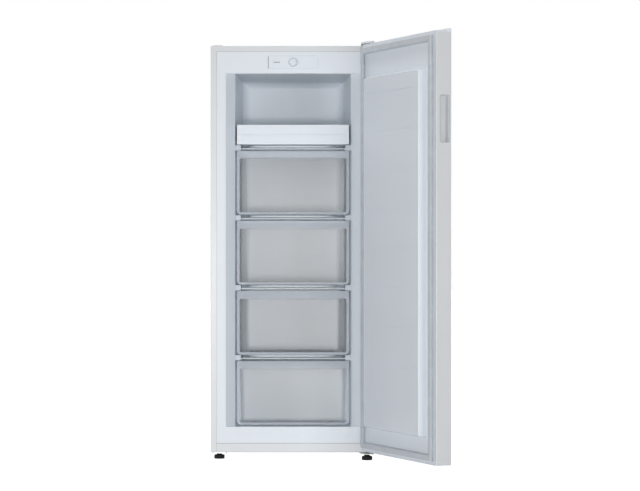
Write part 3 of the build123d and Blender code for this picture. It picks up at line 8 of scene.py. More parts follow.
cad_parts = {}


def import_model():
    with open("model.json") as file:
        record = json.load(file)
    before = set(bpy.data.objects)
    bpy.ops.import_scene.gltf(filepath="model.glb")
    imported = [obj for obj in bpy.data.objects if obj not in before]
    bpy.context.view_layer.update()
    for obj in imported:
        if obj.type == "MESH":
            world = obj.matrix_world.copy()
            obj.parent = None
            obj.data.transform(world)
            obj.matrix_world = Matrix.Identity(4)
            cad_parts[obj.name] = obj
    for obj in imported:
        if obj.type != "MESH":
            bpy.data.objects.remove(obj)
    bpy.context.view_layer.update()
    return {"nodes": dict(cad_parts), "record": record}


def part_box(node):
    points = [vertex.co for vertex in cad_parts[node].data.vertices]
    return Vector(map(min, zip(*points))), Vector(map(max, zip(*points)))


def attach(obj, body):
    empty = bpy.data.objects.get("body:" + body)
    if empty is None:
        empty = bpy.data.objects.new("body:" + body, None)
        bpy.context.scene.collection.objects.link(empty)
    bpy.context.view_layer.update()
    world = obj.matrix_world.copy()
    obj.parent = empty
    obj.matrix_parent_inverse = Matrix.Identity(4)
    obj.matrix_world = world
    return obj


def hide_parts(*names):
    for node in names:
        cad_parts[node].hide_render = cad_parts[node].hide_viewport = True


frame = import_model()
nodes = frame["nodes"]
record = frame["record"]
slot_of = {row["node"]: row["material_slot"] for row in record["subparts"]}
body_of = {node: body for body, names in record["behaviour"]["bodies"].items() for node in names}
MM = 0.001

# ---- Camera: level, in front of the cabinet, as in the photograph -----------------------------
WIDTH, HEIGHT = 640, 491
FOCAL_PX = 2213.0
CAMERA_AT = (0.0, -7.7725, 0.717)
CENTRE_PX = (293.0, 248.3)
SENSOR = 36.0


def camera():
    data = bpy.data.cameras.new("camera")
    data.sensor_fit = "HORIZONTAL"
    data.sensor_width = SENSOR
    data.lens = SENSOR * FOCAL_PX / WIDTH
    data.shift_x = (WIDTH / 2 - CENTRE_PX[0]) / WIDTH
    data.shift_y = (CENTRE_PX[1] - HEIGHT / 2) / WIDTH
    data.clip_end = 60.0
    item = bpy.data.objects.new("camera", data)
    item.location = CAMERA_AT
    item.rotation_euler = (math.pi / 2, 0, 0)
    bpy.context.scene.collection.objects.link(item)
    bpy.context.scene.camera = item


# ---- Materials --------------------------------------------------------------------------------
# sockets of the colour mix node, which have no names of their own
MIX_SHARE, MIX_FIRST, MIX_SECOND, MIX_RESULT = 0, 6, 7, 2


class Nodes:
    """A small helper that builds a node tree on the principled shader."""

    def __init__(self, name):
        self.material = bpy.data.materials.new(name)
        self.material.use_nodes = True
        self.tree = self.material.node_tree
        self.shader = self.tree.nodes["Principled BSDF"]
        self.where = None

    def add(self, kind, inputs=None, **settings):
        node = self.tree.nodes.new(kind)
        for key, value in settings.items():
            setattr(node, key, value)
        for key, value in (inputs or {}).items():
            self.feed(node.inputs[key], value)
        return node

    def feed(self, socket, value):
        """Links an output to a socket, or sets the socket to a value."""
        if hasattr(value, "links"):
            self.tree.links.new(value, socket)
        else:
            socket.default_value = value

    def link(self, output, name):
        self.tree.links.new(output, self.shader.inputs[name])

    def place(self, scale=(1, 1, 1)):
        if self.where is None:
            self.where = self.add("ShaderNodeTexCoord").outputs["Object"]
        if tuple(scale) == (1, 1, 1):
            return self.where
        return self.add("ShaderNodeMapping", {"Vector": self.where, "Scale": scale}).outputs["Vector"]

    def noise(self, scale, detail=3.0, rough=0.55, stretch=(1, 1, 1)):
        inputs = {"Vector": self.place(stretch), "Scale": scale, "Detail": detail, "Roughness": rough}
        return self.add("ShaderNodeTexNoise", inputs).outputs["Fac"]

    def range(self, value, low, high, start=0.0, end=1.0):
        inputs = {"Value": value, "From Min": start, "From Max": end, "To Min": low, "To Max": high}
        return self.add("ShaderNodeMapRange", inputs).outputs["Result"]

    def mix(self, share, first, second):
        node = self.add("ShaderNodeMix", data_type="RGBA")
        self.feed(node.inputs[MIX_SHARE], share)
        self.feed(node.inputs[MIX_FIRST], first)
        self.feed(node.inputs[MIX_SECOND], second)
        return node.outputs[MIX_RESULT]

    def mottle(self, value, first, second, start=0.3, end=0.7):
        """A colour that drifts from the first to the second as a noise rises from start to end."""
        return self.mix(self.range(value, 0.0, 1.0, start, end), first, second)

    def bump(self, height, depth, strength):
        inputs = {"Height": height, "Distance": depth, "Strength": strength}
        return self.add("ShaderNodeBump", inputs).outputs["Normal"]

    def set(self, **values):
        for name, value in values.items():
            self.shader.inputs[name.replace("_", " ")].default_value = value


def rgb(red, green, blue, alpha=1.0):
    return (red, green, blue, alpha)


def shade(colour, factor):
    return tuple(min(1.0, c * factor) for c in colour[:3]) + (colour[3],)


def enamel(name, colour, rough=0.32, peel=1.0):
    """Sprayed enamel on sheet steel: a faint orange peel and slightly uneven gloss."""
    m = Nodes(name)
    broad = m.noise(scale=3.0, detail=2.0)
    m.link(m.mottle(broad, shade(colour, 0.985), shade(colour, 1.01)), "Base Color")
    m.link(m.range(m.noise(scale=60.0), rough - 0.04, rough + 0.05), "Roughness")
    m.link(m.bump(m.noise(scale=650.0, detail=2.0), depth=0.00003 * peel, strength=0.5), "Normal")
    m.set(Coat_Weight=0.12, Coat_Roughness=0.12, IOR=1.5)
    return m.material


def moulded(name, colour, rough=0.38, grain=0.00004, scale=900.0, gloss=0.0, ior=1.48):
    """Moulded plastic: a fine satin grain, faint flow shading and uneven gloss."""
    m = Nodes(name)
    flow = m.noise(scale=2.2, detail=2.0, stretch=(1, 1, 0.4))
    m.link(m.mottle(flow, shade(colour, 0.98), shade(colour, 1.01)), "Base Color")
    m.link(m.range(m.noise(scale=45.0, detail=4.0), rough - 0.05, rough + 0.05), "Roughness")
    m.link(m.bump(m.noise(scale), depth=grain, strength=0.6), "Normal")
    m.set(Coat_Weight=gloss, Coat_Roughness=0.15, IOR=ior)
    return m.material


def clear(name, colour, alpha, edge, rough=0.12, gloss=0.12):
    """Clear moulded plastic: light passes through, its edges and grazing faces grow more opaque and take a
    lighter colour, a painted sheen.
    """
    m = Nodes(name)
    face = m.add("ShaderNodeLayerWeight", {"Blend": 0.35}).outputs["Facing"]
    m.link(m.range(face, alpha, edge, start=0.15), "Alpha")
    # the base colour turns lighter at grazing angles: a painted sheen
    m.link(m.mix(face, colour, shade(colour, 1.06)), "Base Color")
    m.link(m.range(m.noise(scale=30.0), rough - 0.03, rough + 0.05), "Roughness")
    m.link(m.bump(m.noise(scale=9.0, detail=2.0), depth=0.0002, strength=0.15), "Normal")
    m.set(IOR=1.45, Coat_Weight=gloss, Coat_Roughness=0.2)
    return m.material


def metal(name, colour, rough=0.4, brushed=(1, 1, 1), spangle=0.0):
    """Plated or galvanised steel or copper, with a drawn grain or a spangle."""
    m = Nodes(name)
    grain = m.noise(scale=120.0, detail=4.0, stretch=brushed)
    base = m.mottle(grain, shade(colour, 0.9), shade(colour, 1.06))
    if spangle:
        cells = m.add("ShaderNodeTexVoronoi", {"Vector": m.place(), "Scale": 90.0}).outputs["Color"]
        grey = m.add("ShaderNodeRGBToBW", {"Color": cells}).outputs["Val"]
        base = m.mix(m.range(grey, 0.0, spangle), base, shade(colour, 1.15))
    m.link(base, "Base Color")
    m.link(m.range(grain, rough - 0.08, rough + 0.1), "Roughness")
    m.link(m.bump(grain, depth=0.00002, strength=0.5), "Normal")
    m.set(Metallic=1.0)
    return m.material


def rubber(name, colour, rough=0.55):
    """Rubber or a soft seal: matt, with a little dust."""
    m = Nodes(name)
    dust = m.noise(scale=25.0, detail=5.0, rough=0.6)
    m.link(m.mottle(dust, colour, shade(colour, 1.12), start=0.45, end=0.75), "Base Color")
    m.link(m.range(dust, rough - 0.06, rough + 0.1), "Roughness")
    m.link(m.bump(m.noise(scale=1400.0), depth=0.00005, strength=0.6), "Normal")
    m.set(IOR=1.45)
    return m.material


def foam(name, colour):
    """Blown foam with fine cells."""
    m = Nodes(name)
    cells = m.add("ShaderNodeTexVoronoi", {"Vector": m.place(), "Scale": 700.0}).outputs["Distance"]
    m.link(m.mottle(m.noise(scale=12.0, detail=4.0), shade(colour, 0.9), colour), "Base Color")
    m.link(m.bump(cells, depth=0.0004, strength=0.6), "Normal")
    m.set(Roughness=0.9)
    return m.material


WHITE = rgb(0.74, 0.76, 0.78)
LINER = rgb(0.81, 0.86, 0.915)
BLACK = rgb(0.012, 0.012, 0.013)
materials = {
    "white_enamel": enamel("white_enamel", WHITE),
    "white_plastic": moulded("white_plastic", LINER),
    "clear_plastic": clear("clear_plastic", rgb(0.86, 0.93, 1.0), alpha=0.04, edge=0.30),
    "galvanised": metal("galvanised", rgb(0.43, 0.445, 0.46), 0.45, spangle=0.5),
    "zinc_plated": metal("zinc_plated", rgb(0.46, 0.46, 0.445), 0.32, brushed=(1, 6, 1)),
    "white_wire": enamel("white_wire", rgb(0.72, 0.76, 0.80), 0.3),
    "grey_seal": rubber("grey_seal", rgb(0.60, 0.635, 0.68), 0.5),
    "black_plastic": moulded("black_plastic", BLACK, 0.6, grain=0.00008, scale=500.0, ior=1.25),
    "black_enamel": enamel("black_enamel", BLACK, 0.25, peel=2.0),
    "black_rubber": rubber("black_rubber", rgb(0.02, 0.02, 0.02)),
    "copper": metal("copper", rgb(0.72, 0.36, 0.22), 0.3, brushed=(1, 1, 0.1)),
    "foam": foam("foam", rgb(0.80, 0.72, 0.50)),
    "lens": moulded("lens", rgb(0.32, 0.34, 0.36), 0.2, grain=0.00001),
    "white_rubbery": moulded("white_rubbery", rgb(0.72, 0.71, 0.68), 0.5),
}
FRAME_CLEAR = clear("clear_frame", rgb(0.78, 0.84, 0.93), alpha=0.36, edge=0.60, rough=0.38, gloss=0.0)
CLIP = moulded("clip", rgb(0.52, 0.57, 0.63))
# a near-black strip standing for painted shadow in the gap beside the control plate
PAINTED_SHADOW_GAP = moulded("painted_shadow_gap", rgb(0.10, 0.11, 0.12), 0.6)
# grey lines standing for painted shade along the joints of liner, top, rail and control plate and round the
# handle recess
PAINTED_SHADE_LINE = moulded("painted_shade_line", rgb(0.42, 0.45, 0.48), 0.5)
# the hinge hole cover's own grey, also used for the ring of painted shadow round the knob
GREY_COVER_AND_PAINTED_SHADOW = moulded("grey_cover_and_painted_shadow", rgb(0.22, 0.23, 0.24), 0.5)
# the enamel's white made 3 % darker: painted shade in the handle recess
CUP_PAINTED_SHADE = moulded("cup", shade(WHITE, 0.97), 0.4)
for name, item in nodes.items():
    item.data.materials.clear()
    item.data.materials.append(materials[slot_of[name]])


# ---- Mesh helpers -----------------------------------------------------------------------------
def finish_piece(bm, name, node, angle=35.0, replaced=True, finish=None, even=False):
    """Turns a bmesh into a shaded piece with a node's finish, on that node's body."""
    bmesh.ops.recalc_face_normals(bm, faces=bm.faces)
    mesh = bpy.data.meshes.new(name)
    bm.to_mesh(mesh)
    bm.free()
    for polygon in mesh.polygons:
        polygon.use_smooth = True
    mesh.set_sharp_from_angle(angle=math.radians(angle))
    mesh.materials.append(finish or materials[slot_of[node]])
    item = bpy.data.objects.new(name, mesh)
    bpy.context.scene.collection.objects.link(item)
    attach(item, body_of[node])
    if even:
        shading = item.modifiers.new("even_shading", "WEIGHTED_NORMAL")
        shading.keep_sharp = True
        shading.weight = 100
    if replaced:
        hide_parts(node)
    return item


def softened(node, width, segments=2, finish=None):
    """Replaces a node by a copy whose sharp edges are rounded, width in millimetres."""
    sharp_angle = math.radians(30.0)
    bm = bmesh.new()
    bm.from_mesh(nodes[node].data)
    bmesh.ops.remove_doubles(bm, verts=bm.verts, dist=0.01 * MM)
    bmesh.ops.dissolve_limit(bm, angle_limit=math.radians(0.5), verts=bm.verts, edges=bm.edges)
    sharp = []
    for edge in bm.edges:
        if len(edge.link_faces) == 2 and edge.calc_face_angle(0.0) > sharp_angle:
            sharp.append(edge)
    bmesh.ops.bevel(bm, geom=sharp, offset=width * MM, offset_type="OFFSET", segments=segments,
                    profile=0.5, affect="EDGES", clamp_overlap=True)
    return finish_piece(bm, f"{node}_detail", node, finish=finish, even=True)


def add_rings(bm, rings, closed=False):
    """Joins rings of equally many points into one skin, with end caps unless it closes on itself."""
    rows = [[bm.verts.new(point) for point in ring] for ring in rings]
    pairs = list(zip(rows, rows[1:]))
    if closed:
        pairs.append((rows[-1], rows[0]))
    for low, high in pairs:
        for i in range(len(low)):
            k = (i + 1) % len(low)
            bm.faces.new((low[i], low[k], high[k], high[i]))
    if not closed:
        bm.faces.new(list(reversed(rows[0])))
        bm.faces.new(rows[-1])


def turns(count):
    """Equally spaced angles of a full turn."""
    return [2 * math.pi * i / count for i in range(count)]


def circle(radius, height, count):
    return [Vector((radius * math.cos(t), radius * math.sin(t), height)) for t in turns(count)]


def lathe(bm, profile, matrix, count=48):
    """A turned body from radius and height pairs in millimetres, placed by a matrix."""
    rings = [circle(radius * MM, height * MM, count) for radius, height in profile]
    add_rings(bm, [[matrix @ point for point in ring] for ring in rings])


def round_off(profile, reach, cuts=3):
    """A section line whose corners are rounded, in millimetres."""
    points = [Vector((x, y, 0)) for x, y in profile]
    out = [points[0]]
    for before, corner, after in zip(points, points[1:], points[2:]):
        back, ahead = before - corner, after - corner
        size = min(reach, back.length / 2.2, ahead.length / 2.2)
        start = corner + back.normalized() * size
        end = corner + ahead.normalized() * size
        for i in range(cuts + 1):
            t = i / cuts
            out.append(start * (1 - t) ** 2 + corner * 2 * t * (1 - t) + end * t ** 2)
    out.append(points[-1])
    return [(p.x, p.y) for p in out]


def bent(points, radius, cuts=8):
    """A line in metres with its corners bent in arcs."""
    least_step = 0.2 * MM
    points = [Vector(p) for p in points]
    line = [points[0]]
    for before, corner, after in zip(points, points[1:], points[2:]):
        back, ahead = before - corner, after - corner
        half = back.angle(ahead) / 2
        reach = min(radius / math.tan(half), back.length * 0.499, ahead.length * 0.499)
        start = corner + back.normalized() * reach
        end = corner + ahead.normalized() * reach
        away = (back.normalized() + ahead.normalized()).normalized()
        centre = corner + away * (reach / math.cos(half))
        arm, side = start - centre, end - centre
        swing = arm.angle(side)
        for i in range(cuts + 1):
            t = i / cuts * swing
            line.append(centre + (arm * math.sin(swing - t) + side * math.sin(t)) / math.sin(swing))
    line.append(points[-1])
    kept = [line[0]]
    for point in line[1:]:
        if (point - kept[-1]).length > least_step:
            kept.append(point)
    return kept


def add_tube(bm, line, radius, count=10):
    """A round tube along a line, without twist."""
    tangents = []
    for i in range(len(line)):
        tangents.append((line[min(i + 1, len(line) - 1)] - line[max(i - 1, 0)]).normalized())
    side = tangents[0].orthogonal().normalized()
    rings = []
    for point, tangent in zip(line, tangents):
        side = (side - tangent * side.dot(tangent)).normalized()
        up = tangent.cross(side)
        rings.append([point + (side * math.cos(t) + up * math.sin(t)) * radius for t in turns(count)])
    add_rings(bm, rings)


def rounded_loop(x0, x1, y0, y1, radius, z, cuts=5):
    """Points of a rectangle with rounded corners, in a plane of constant Z."""
    loop = []
    for x, y, start in ((x1, y0, -90), (x1, y1, 0), (x0, y1, 90), (x0, y0, 180)):
        centre_x = x - math.copysign(radius, x - (x0 + x1) / 2)
        centre_y = y - math.copysign(radius, y - (y0 + y1) / 2)
        centre = Vector((centre_x, centre_y, z))
        for i in range(cuts + 1):
            t = math.radians(start + 90 * i / cuts)
            loop.append(centre + Vector((math.cos(t), math.sin(t), 0)) * radius)
    return loop


# ---- The cabinet's and the door's sizes, in millimetres ---------------------------------------
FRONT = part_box("left_side_panel")[0].y / MM
DOOR_JOINT = next(j for j in record["behaviour"]["joints"] if j["name"] == "door_hinge")
HINGE = Vector((DOOR_JOINT["pos_m"][0], DOOR_JOINT["pos_m"][1], 0))
REST_ANGLE = -DOOR_JOINT["range_deg"][0]
REST_TURN = Matrix.Rotation(math.radians(REST_ANGLE), 4, "Z")
SWING = Matrix.Translation(HINGE) @ REST_TURN @ Matrix.Translation(-HINGE)
DOOR_HALF = 278.0
DOOR_IN = FRONT - 14.0
DOOR_OUT = DOOR_IN - 55.0
DOOR_Z0, DOOR_Z1 = 30.0, 1405.5


def swung(x, y, z):
    """A point of the closed door, in millimetres, where the open door holds it."""
    return SWING @ Vector((x * MM, y * MM, z * MM))


# ---- Door gasket ------------------------------------------------------------------------------
SEAL_INSET = 23.0
# half of the seal's section: distance from its middle, height over the door's inner face
SEAL_HALF = [(0.0, 13.0), (8.2, 13.0), (9.0, 12.2), (9.0, 9.2), (8.2, 8.2), (4.6, 7.6), (3.6, 6.7),
             (4.8, 5.6), (3.6, 4.5), (4.6, 3.4), (9.6, 2.8), (11.0, 1.2), (11.0, 0.0)]


def door_gasket():
    """A magnetic seal with a two-fold bellows and a rounded head, mitred at the corners."""
    section = SEAL_HALF + [(-u, v) for u, v in reversed(SEAL_HALF[1:])]
    rings = []
    for side, top in ((-1, False), (1, False), (1, True), (-1, True)):
        ring = []
        for u, v in section:
            inset = SEAL_INSET + u
            z = DOOR_Z1 - inset if top else DOOR_Z0 + inset
            ring.append(swung(side * (DOOR_HALF - inset), DOOR_IN + v, z))
        rings.append(ring)
    bm = bmesh.new()
    add_rings(bm, rings, closed=True)
    finish_piece(bm, "gasket_bellows", "door_gasket")


# ---- Thermostat knob --------------------------------------------------------------------------
KNOB_R, KNOB_H = 14.0, 12.0
FLUTES, FLUTE_STEPS = 40, 4
# radius, height and depth of the flutes, from the foot over the rim into the dish
KNOB_STEPS = ((KNOB_R, 0.0, 0.0), (KNOB_R, 1.8, 0.0), (KNOB_R - 0.8, 2.4, 0.35),
              (KNOB_R - 1.4, KNOB_H - 1.6, 0.35), (KNOB_R - 2.0, KNOB_H - 0.6, 0.1),
              (KNOB_R - 2.9, KNOB_H, 0.0), (KNOB_R - 5.4, KNOB_H, 0.0), (KNOB_R - 6.4, KNOB_H - 0.9, 0.0),
              (KNOB_R - 7.0, KNOB_H - 1.4, 0.0), (0.4, KNOB_H - 1.4, 0.0))
# the pointer's levels: half its width, start, end, corner radius and height
POINTER_STEPS = ((1.2, 1.0, KNOB_R - 3.2, 0.8, KNOB_H - 3.0), (1.2, 1.0, KNOB_R - 3.2, 0.8, KNOB_H - 0.4),
                 (0.9, 1.3, KNOB_R - 3.5, 0.6, KNOB_H))
# the ring of painted shadow round the knob: radius and height
KNOB_SHADOW_RING = ((13.9, 0), (15.0, 0), (14.8, 0.5), (14.1, 0.5))
KNOB_SHADOW_RING_SUNK = 1.2


def knob_axis(sunk=0.0):
    """The knob's axis, which points out of the control plate."""
    low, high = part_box("thermostat_knob")
    centre = (low + high) / 2
    return Matrix.Translation((centre.x, high.y - sunk * MM, centre.z)) @ Matrix.Rotation(math.pi / 2, 4, "X")


def thermostat_knob():
    """A dished knob with a fine grip round its rim and a raised pointer."""
    matrix = knob_axis()
    rings = []
    for radius, height, depth in KNOB_STEPS:
        ring = []
        for i, t in enumerate(turns(FLUTES * FLUTE_STEPS)):
            r = radius - depth * (1 if i % FLUTE_STEPS < FLUTE_STEPS // 2 else 0)
            ring.append(matrix @ Vector((r * math.cos(t) * MM, r * math.sin(t) * MM, height * MM)))
        rings.append(ring)
    pointer = []
    for half, start, end, corner, z in POINTER_STEPS:
        loop = rounded_loop(-half * MM, half * MM, start * MM, end * MM, corner * MM, z * MM, 3)
        pointer.append([matrix @ point for point in loop])
    bm = bmesh.new()
    add_rings(bm, rings)
    add_rings(bm, pointer)
    finish_piece(bm, "knob_dished", "thermostat_knob")


# A dark grey ring of painted shadow round the knob, sunk a little into the control plate.
def knob_shadow_ring():
    matrix = knob_axis(KNOB_SHADOW_RING_SUNK)
    rings = [[matrix @ point for point in circle(r * MM, z * MM, 64)] for r, z in KNOB_SHADOW_RING]
    bm = bmesh.new()
    add_rings(bm, rings, closed=True)
    finish_piece(bm, "knob_shadow_ring", "control_plate", replaced=False, finish=GREY_COVER_AND_PAINTED_SHADOW)


# ---- Feet and rollers -------------------------------------------------------------------------
STEM_R = 4.9
FOOT_PROFILE = [(16.0, 0), (17.9, 0.8), (17.9, 11.6), (15.6, 13.6), (9.4, 14.4), (9.0, 19.2), (STEM_R, 19.4)]
FOOT_RIBS = 16
RIB_HALF, RIB_IN, RIB_OUT, RIB_CORNER = 0.9, 16.8, 17.95, 0.4
RIB_Z = (1.6, 11.2)
# one half of the roller's section, from its bore over the hub to the middle of the tyre
ROLLER_WIDTH = 14.0
ROLLER_HALF = [(2.6, 0), (4.6, 0), (4.8, 0.5), (5.2, 1.6), (8.4, 1.6), (8.8, 0.4), (9.6, 0.05), (10.3, 0.9)]
ROLLER_CROWN = (10.4, ROLLER_WIDTH / 2)


def upright(node):
    """The upright axis through a node, standing on its lowest point."""
    low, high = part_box(node)
    return Matrix.Translation(((low.x + high.x) / 2, (low.y + high.y) / 2, low.z))


def front_foot(node):
    """A screw-in foot with a ribbed skirt."""
    stem_top = (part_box(node)[1].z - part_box(node)[0].z) / MM
    matrix = upright(node)
    bm = bmesh.new()
    lathe(bm, round_off(FOOT_PROFILE, 0.8) + [(STEM_R, stem_top)], matrix)
    for angle in turns(FOOT_RIBS):
        turned = matrix @ Matrix.Rotation(angle, 4, "Z")
        sides = (-RIB_HALF * MM, RIB_HALF * MM, RIB_IN * MM, RIB_OUT * MM)
        rib = []
        for z in RIB_Z:
            loop = rounded_loop(*sides, RIB_CORNER * MM, z * MM, 2)
            rib.append([turned @ point for point in loop])
        add_rings(bm, rib)
    finish_piece(bm, f"{node}_ribbed", node)


def sideways(node):
    """The level axis along X through a node, from its left face."""
    low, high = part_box(node)
    at = Matrix.Translation((low.x, (low.y + high.y) / 2, (low.z + high.z) / 2))
    return at @ Matrix.Rotation(math.pi / 2, 4, "Y")


def rear_roller(node):
    """A wheel with sunk faces, a hub and a rounded tread."""
    other_half = [(radius, ROLLER_WIDTH - x) for radius, x in reversed(ROLLER_HALF)]
    matrix = sideways(node)
    rings = []
    for radius, x in ROLLER_HALF + [ROLLER_CROWN] + other_half:
        rings.append([matrix @ point for point in circle(radius * MM, x * MM, 48)])
    bm = bmesh.new()
    add_rings(bm, rings, closed=True)
    finish_piece(bm, f"{node}_tyre", node)


# ---- Evaporator shelves -----------------------------------------------------------------------
PASSES, PASS_FRONT, PASS_BACK = 5, 60.0, 42.0
CAVITY_D = 430.0
PASS_PITCH = (CAVITY_D - PASS_BACK - PASS_FRONT) / (PASSES - 1)
PASS_RIGHT, PASS_LEFT, FEED_X = 146.0, -134.0, 148.0
TUBE_R, WIRE_R, ROD_R = 4.0, 0.8, 2.5
TUBE_SKIN, FEED_SHORT = 0.05, 0.5
WIRES, WIRE_PITCH = 12, 26.0
WIRE_FRONT, WIRE_REAR = 36.0, 412.0
ROD_FRONT, ROD_REAR = 48.0, 404.0
WELD_STRETCH = (1.3, 1.9, 1.0, 1.0)


def shelf_path():
    """The tube's corners in X and depth, from one feed through its passes to the other feed."""
    path = [(-FEED_X, CAVITY_D - FEED_SHORT), (-FEED_X, PASS_FRONT)]
    for run in range(PASSES - 1):
        depth = PASS_FRONT + PASS_PITCH * run
        x = PASS_RIGHT if run % 2 == 0 else PASS_LEFT
        path += [(x, depth), (x, depth + PASS_PITCH)]
    last = PASS_FRONT + PASS_PITCH * (PASSES - 1)
    return path + [(FEED_X, last), (FEED_X, CAVITY_D - FEED_SHORT)]


def evaporator_shelf(node):
    """Round wires welded above and below one unbroken tube, with beads of weld where they cross."""
    low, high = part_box(node)
    level = high.z / MM
    tube_z = level - 2 * WIRE_R - TUBE_R
    lower = tube_z - TUBE_R - WIRE_R
    bm = bmesh.new()
    corners = [(x * MM, (FRONT + depth) * MM, tube_z * MM) for x, depth in shelf_path()]
    add_tube(bm, bent(corners, PASS_PITCH / 2 * MM), (TUBE_R - TUBE_SKIN) * MM, 12)
    ends = ((FRONT + WIRE_FRONT) * MM, (FRONT + WIRE_REAR) * MM)
    for i in range(WIRES):
        x = (i - (WIRES - 1) / 2) * WIRE_PITCH + WIRE_R
        for z in (level - WIRE_R, lower):
            add_tube(bm, [Vector((x * MM, y, z * MM)) for y in ends], WIRE_R * MM, 8)
            for run in range(PASSES):
                y = FRONT + PASS_FRONT + PASS_PITCH * run
                weld = Matrix.Translation((x * MM, y * MM, z * MM)) @ Matrix.Diagonal(WELD_STRETCH)
                bmesh.ops.create_uvsphere(bm, u_segments=8, v_segments=6, radius=WIRE_R * MM, matrix=weld)
    for depth in (ROD_FRONT, ROD_REAR):
        y = (FRONT + depth) * MM
        z = (lower - WIRE_R - ROD_R) * MM
        add_tube(bm, [Vector((low.x, y, z)), Vector((high.x, y, z))], ROD_R * MM, 14)
    finish_piece(bm, f"{node}_coil", node)


# ---- Compressor bay ---------------------------------------------------------------------------
POT_R = 75.0
# radius as a share of the pot's, and height
POT_LOWER = ((0.50, 0.2), (0.62, 9), (0.86, 17), (0.965, 34), (0.985, 60), (0.995, 89))
POT_UPPER = ((0.98, 99), (0.98, 136), (0.925, 151), (0.77, 160), (0.45, 163.6))
# how far the welded seam stands out, and height
POT_SEAM = ((2.2, 92.3), (2.9, 93.4), (2.9, 95.8), (2.2, 96.8))
POT_AXIS_R, POT_FOOT, POT_TOP = 4.0, 0.2, 163.9
LEG_HALF_X, LEG_HALF_Y, LEG_CORNER = 98, 48, 12
# how far the leg plate's edge steps in, and height
LEG_STEPS = ((0, 0.1), (0, 2.4), (0.6, 2.9))
LEG_WELDS, WELD_X, WELD_Y, WELD_Z, WELD_R = 3, 58, 44, 4, 5
LINE_R, THIN_R, LINE_BEND, STUB_BEND = 3.25, 1.3, 18, 8
LINE_Z = 142.5
DRIER_TIP_R, DRIER_NECK_R, DRIER_R = 3.7, 3.9, 9.4
DRIER_TIP, DRIER_NECK, DRIER_SHOULDER = 0.1, 8, 17


def compressor():
    """A welded pot in two deep-drawn shells, with its seam and a leg plate with bevelled edges."""
    seat = upright("compressor")
    profile = [(POT_AXIS_R, POT_FOOT)]
    profile += [(POT_R * share, z) for share, z in POT_LOWER]
    profile += [(POT_R + out, z) for out, z in POT_SEAM]
    profile += [(POT_R * share, z) for share, z in POT_UPPER]
    profile += [(POT_AXIS_R, POT_TOP)]
    bm = bmesh.new()
    lathe(bm, round_off(profile, 9.0, 4), seat, 72)
    plate = []
    for inset, z in LEG_STEPS:
        x, y = (LEG_HALF_X - inset) * MM, (LEG_HALF_Y - inset) * MM
        plate.append([seat @ point for point in rounded_loop(-x, x, -y, y, LEG_CORNER * MM, z * MM)])
    add_rings(bm, plate)
    for i in range(LEG_WELDS):
        t = 2 * math.pi * (i + 0.25) / LEG_WELDS
        weld = seat @ Matrix.Translation((WELD_X * MM * math.cos(t), WELD_Y * MM * math.sin(t), WELD_Z * MM))
        bmesh.ops.create_uvsphere(bm, u_segments=14, v_segments=8, radius=WELD_R * MM, matrix=weld)
    finish_piece(bm, "compressor_shells", "compressor", 50.0)


def refrigerant_lines():
    """Bent copper tubes: discharge, suction, the filling stub, and the drier's inlet and capillary."""
    low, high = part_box("compressor")
    x, y = (low.x + high.x) / 2 / MM, (low.y + high.y) / 2 / MM
    z, up = LINE_Z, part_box("refrigerant_lines")[1].z / MM
    left, right = x - POT_R, x + POT_R
    drier_low, drier_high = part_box("filter_drier")
    dx = (drier_low.x + drier_high.x) / 2 / MM
    d0, d1 = drier_low.z / MM, drier_high.z / MM
    runs = [
        (LINE_R, LINE_BEND, [(left + 25, y - 35, z), (left - 30, y - 62, z), (left - 30, y - 62, up - 8)]),
        (LINE_R, LINE_BEND, [(x, y - 50, z - 12), (x, y - 92, z - 12), (x, y - 92, up - 10)]),
        (LINE_R, LINE_BEND, [(right - 12, y, z), (right + 24, y, z), (right + 24, y, z + 55)]),
        (LINE_R, STUB_BEND, [(dx, y, d1 - 1), (dx, y, d1 + 18), (dx - 40, y, d1 + 18), (dx - 40, y, up - 4)]),
        (THIN_R, LINE_BEND, [(dx, y, d0 + 1), (dx, y, d0 - 24), (dx - 75, y, d0 - 24), (dx - 75, y, up - 4)]),
    ]
    bm = bmesh.new()
    for radius, bend, points in runs:
        line = bent([tuple(v * MM for v in point) for point in points], bend * MM)
        add_tube(bm, line, radius * MM, 14)
    finish_piece(bm, "copper_lines", "refrigerant_lines")


def filter_drier():
    """A copper capsule spun down to a neck at each end."""
    low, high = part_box("filter_drier")
    length = (high.z - low.z) / MM
    profile = [(DRIER_TIP_R, DRIER_TIP), (DRIER_NECK_R, DRIER_NECK), (DRIER_R, DRIER_SHOULDER)]
    profile += [(radius, length - z) for radius, z in reversed(profile)]
    bm = bmesh.new()
    lathe(bm, round_off(profile, 4.0, 4), upright("filter_drier"), 32)
    finish_piece(bm, "drier_capsule", "filter_drier", 50.0)


# ---- The detailed copies, one after another ---------------------------------------------------
door_gasket()
thermostat_knob()
for side in ("left", "right"):
    front_foot(f"{side}_front_foot")
    rear_roller(f"{side}_rear_roller")
for number in range(1, 5):
    evaporator_shelf(f"evaporator_shelf_{number}")
    softened(f"drawer_{number}_front", 1.0, 3, finish=FRAME_CLEAR)
    softened(f"drawer_{number}", 0.8)
compressor()
refrigerant_lines()
filter_drier()
softened("top_tray", 1.2, 3)
softened("door_inner_panel", 0.6)
softened("door_top_cap", 0.7)
softened("door_bottom_cap", 0.7)
softened("handle_cup", 0.8, 3, finish=CUP_PAINTED_SHADE)
softened("upper_hinge_cover", 0.6)
softened("hinge_hole_cover", 0.4, finish=GREY_COVER_AND_PAINTED_SHADOW)
softened("control_plate", 0.3)
softened("terminal_cover", 1.5, 3)
softened("shelf_clips", 0.8, finish=CLIP)


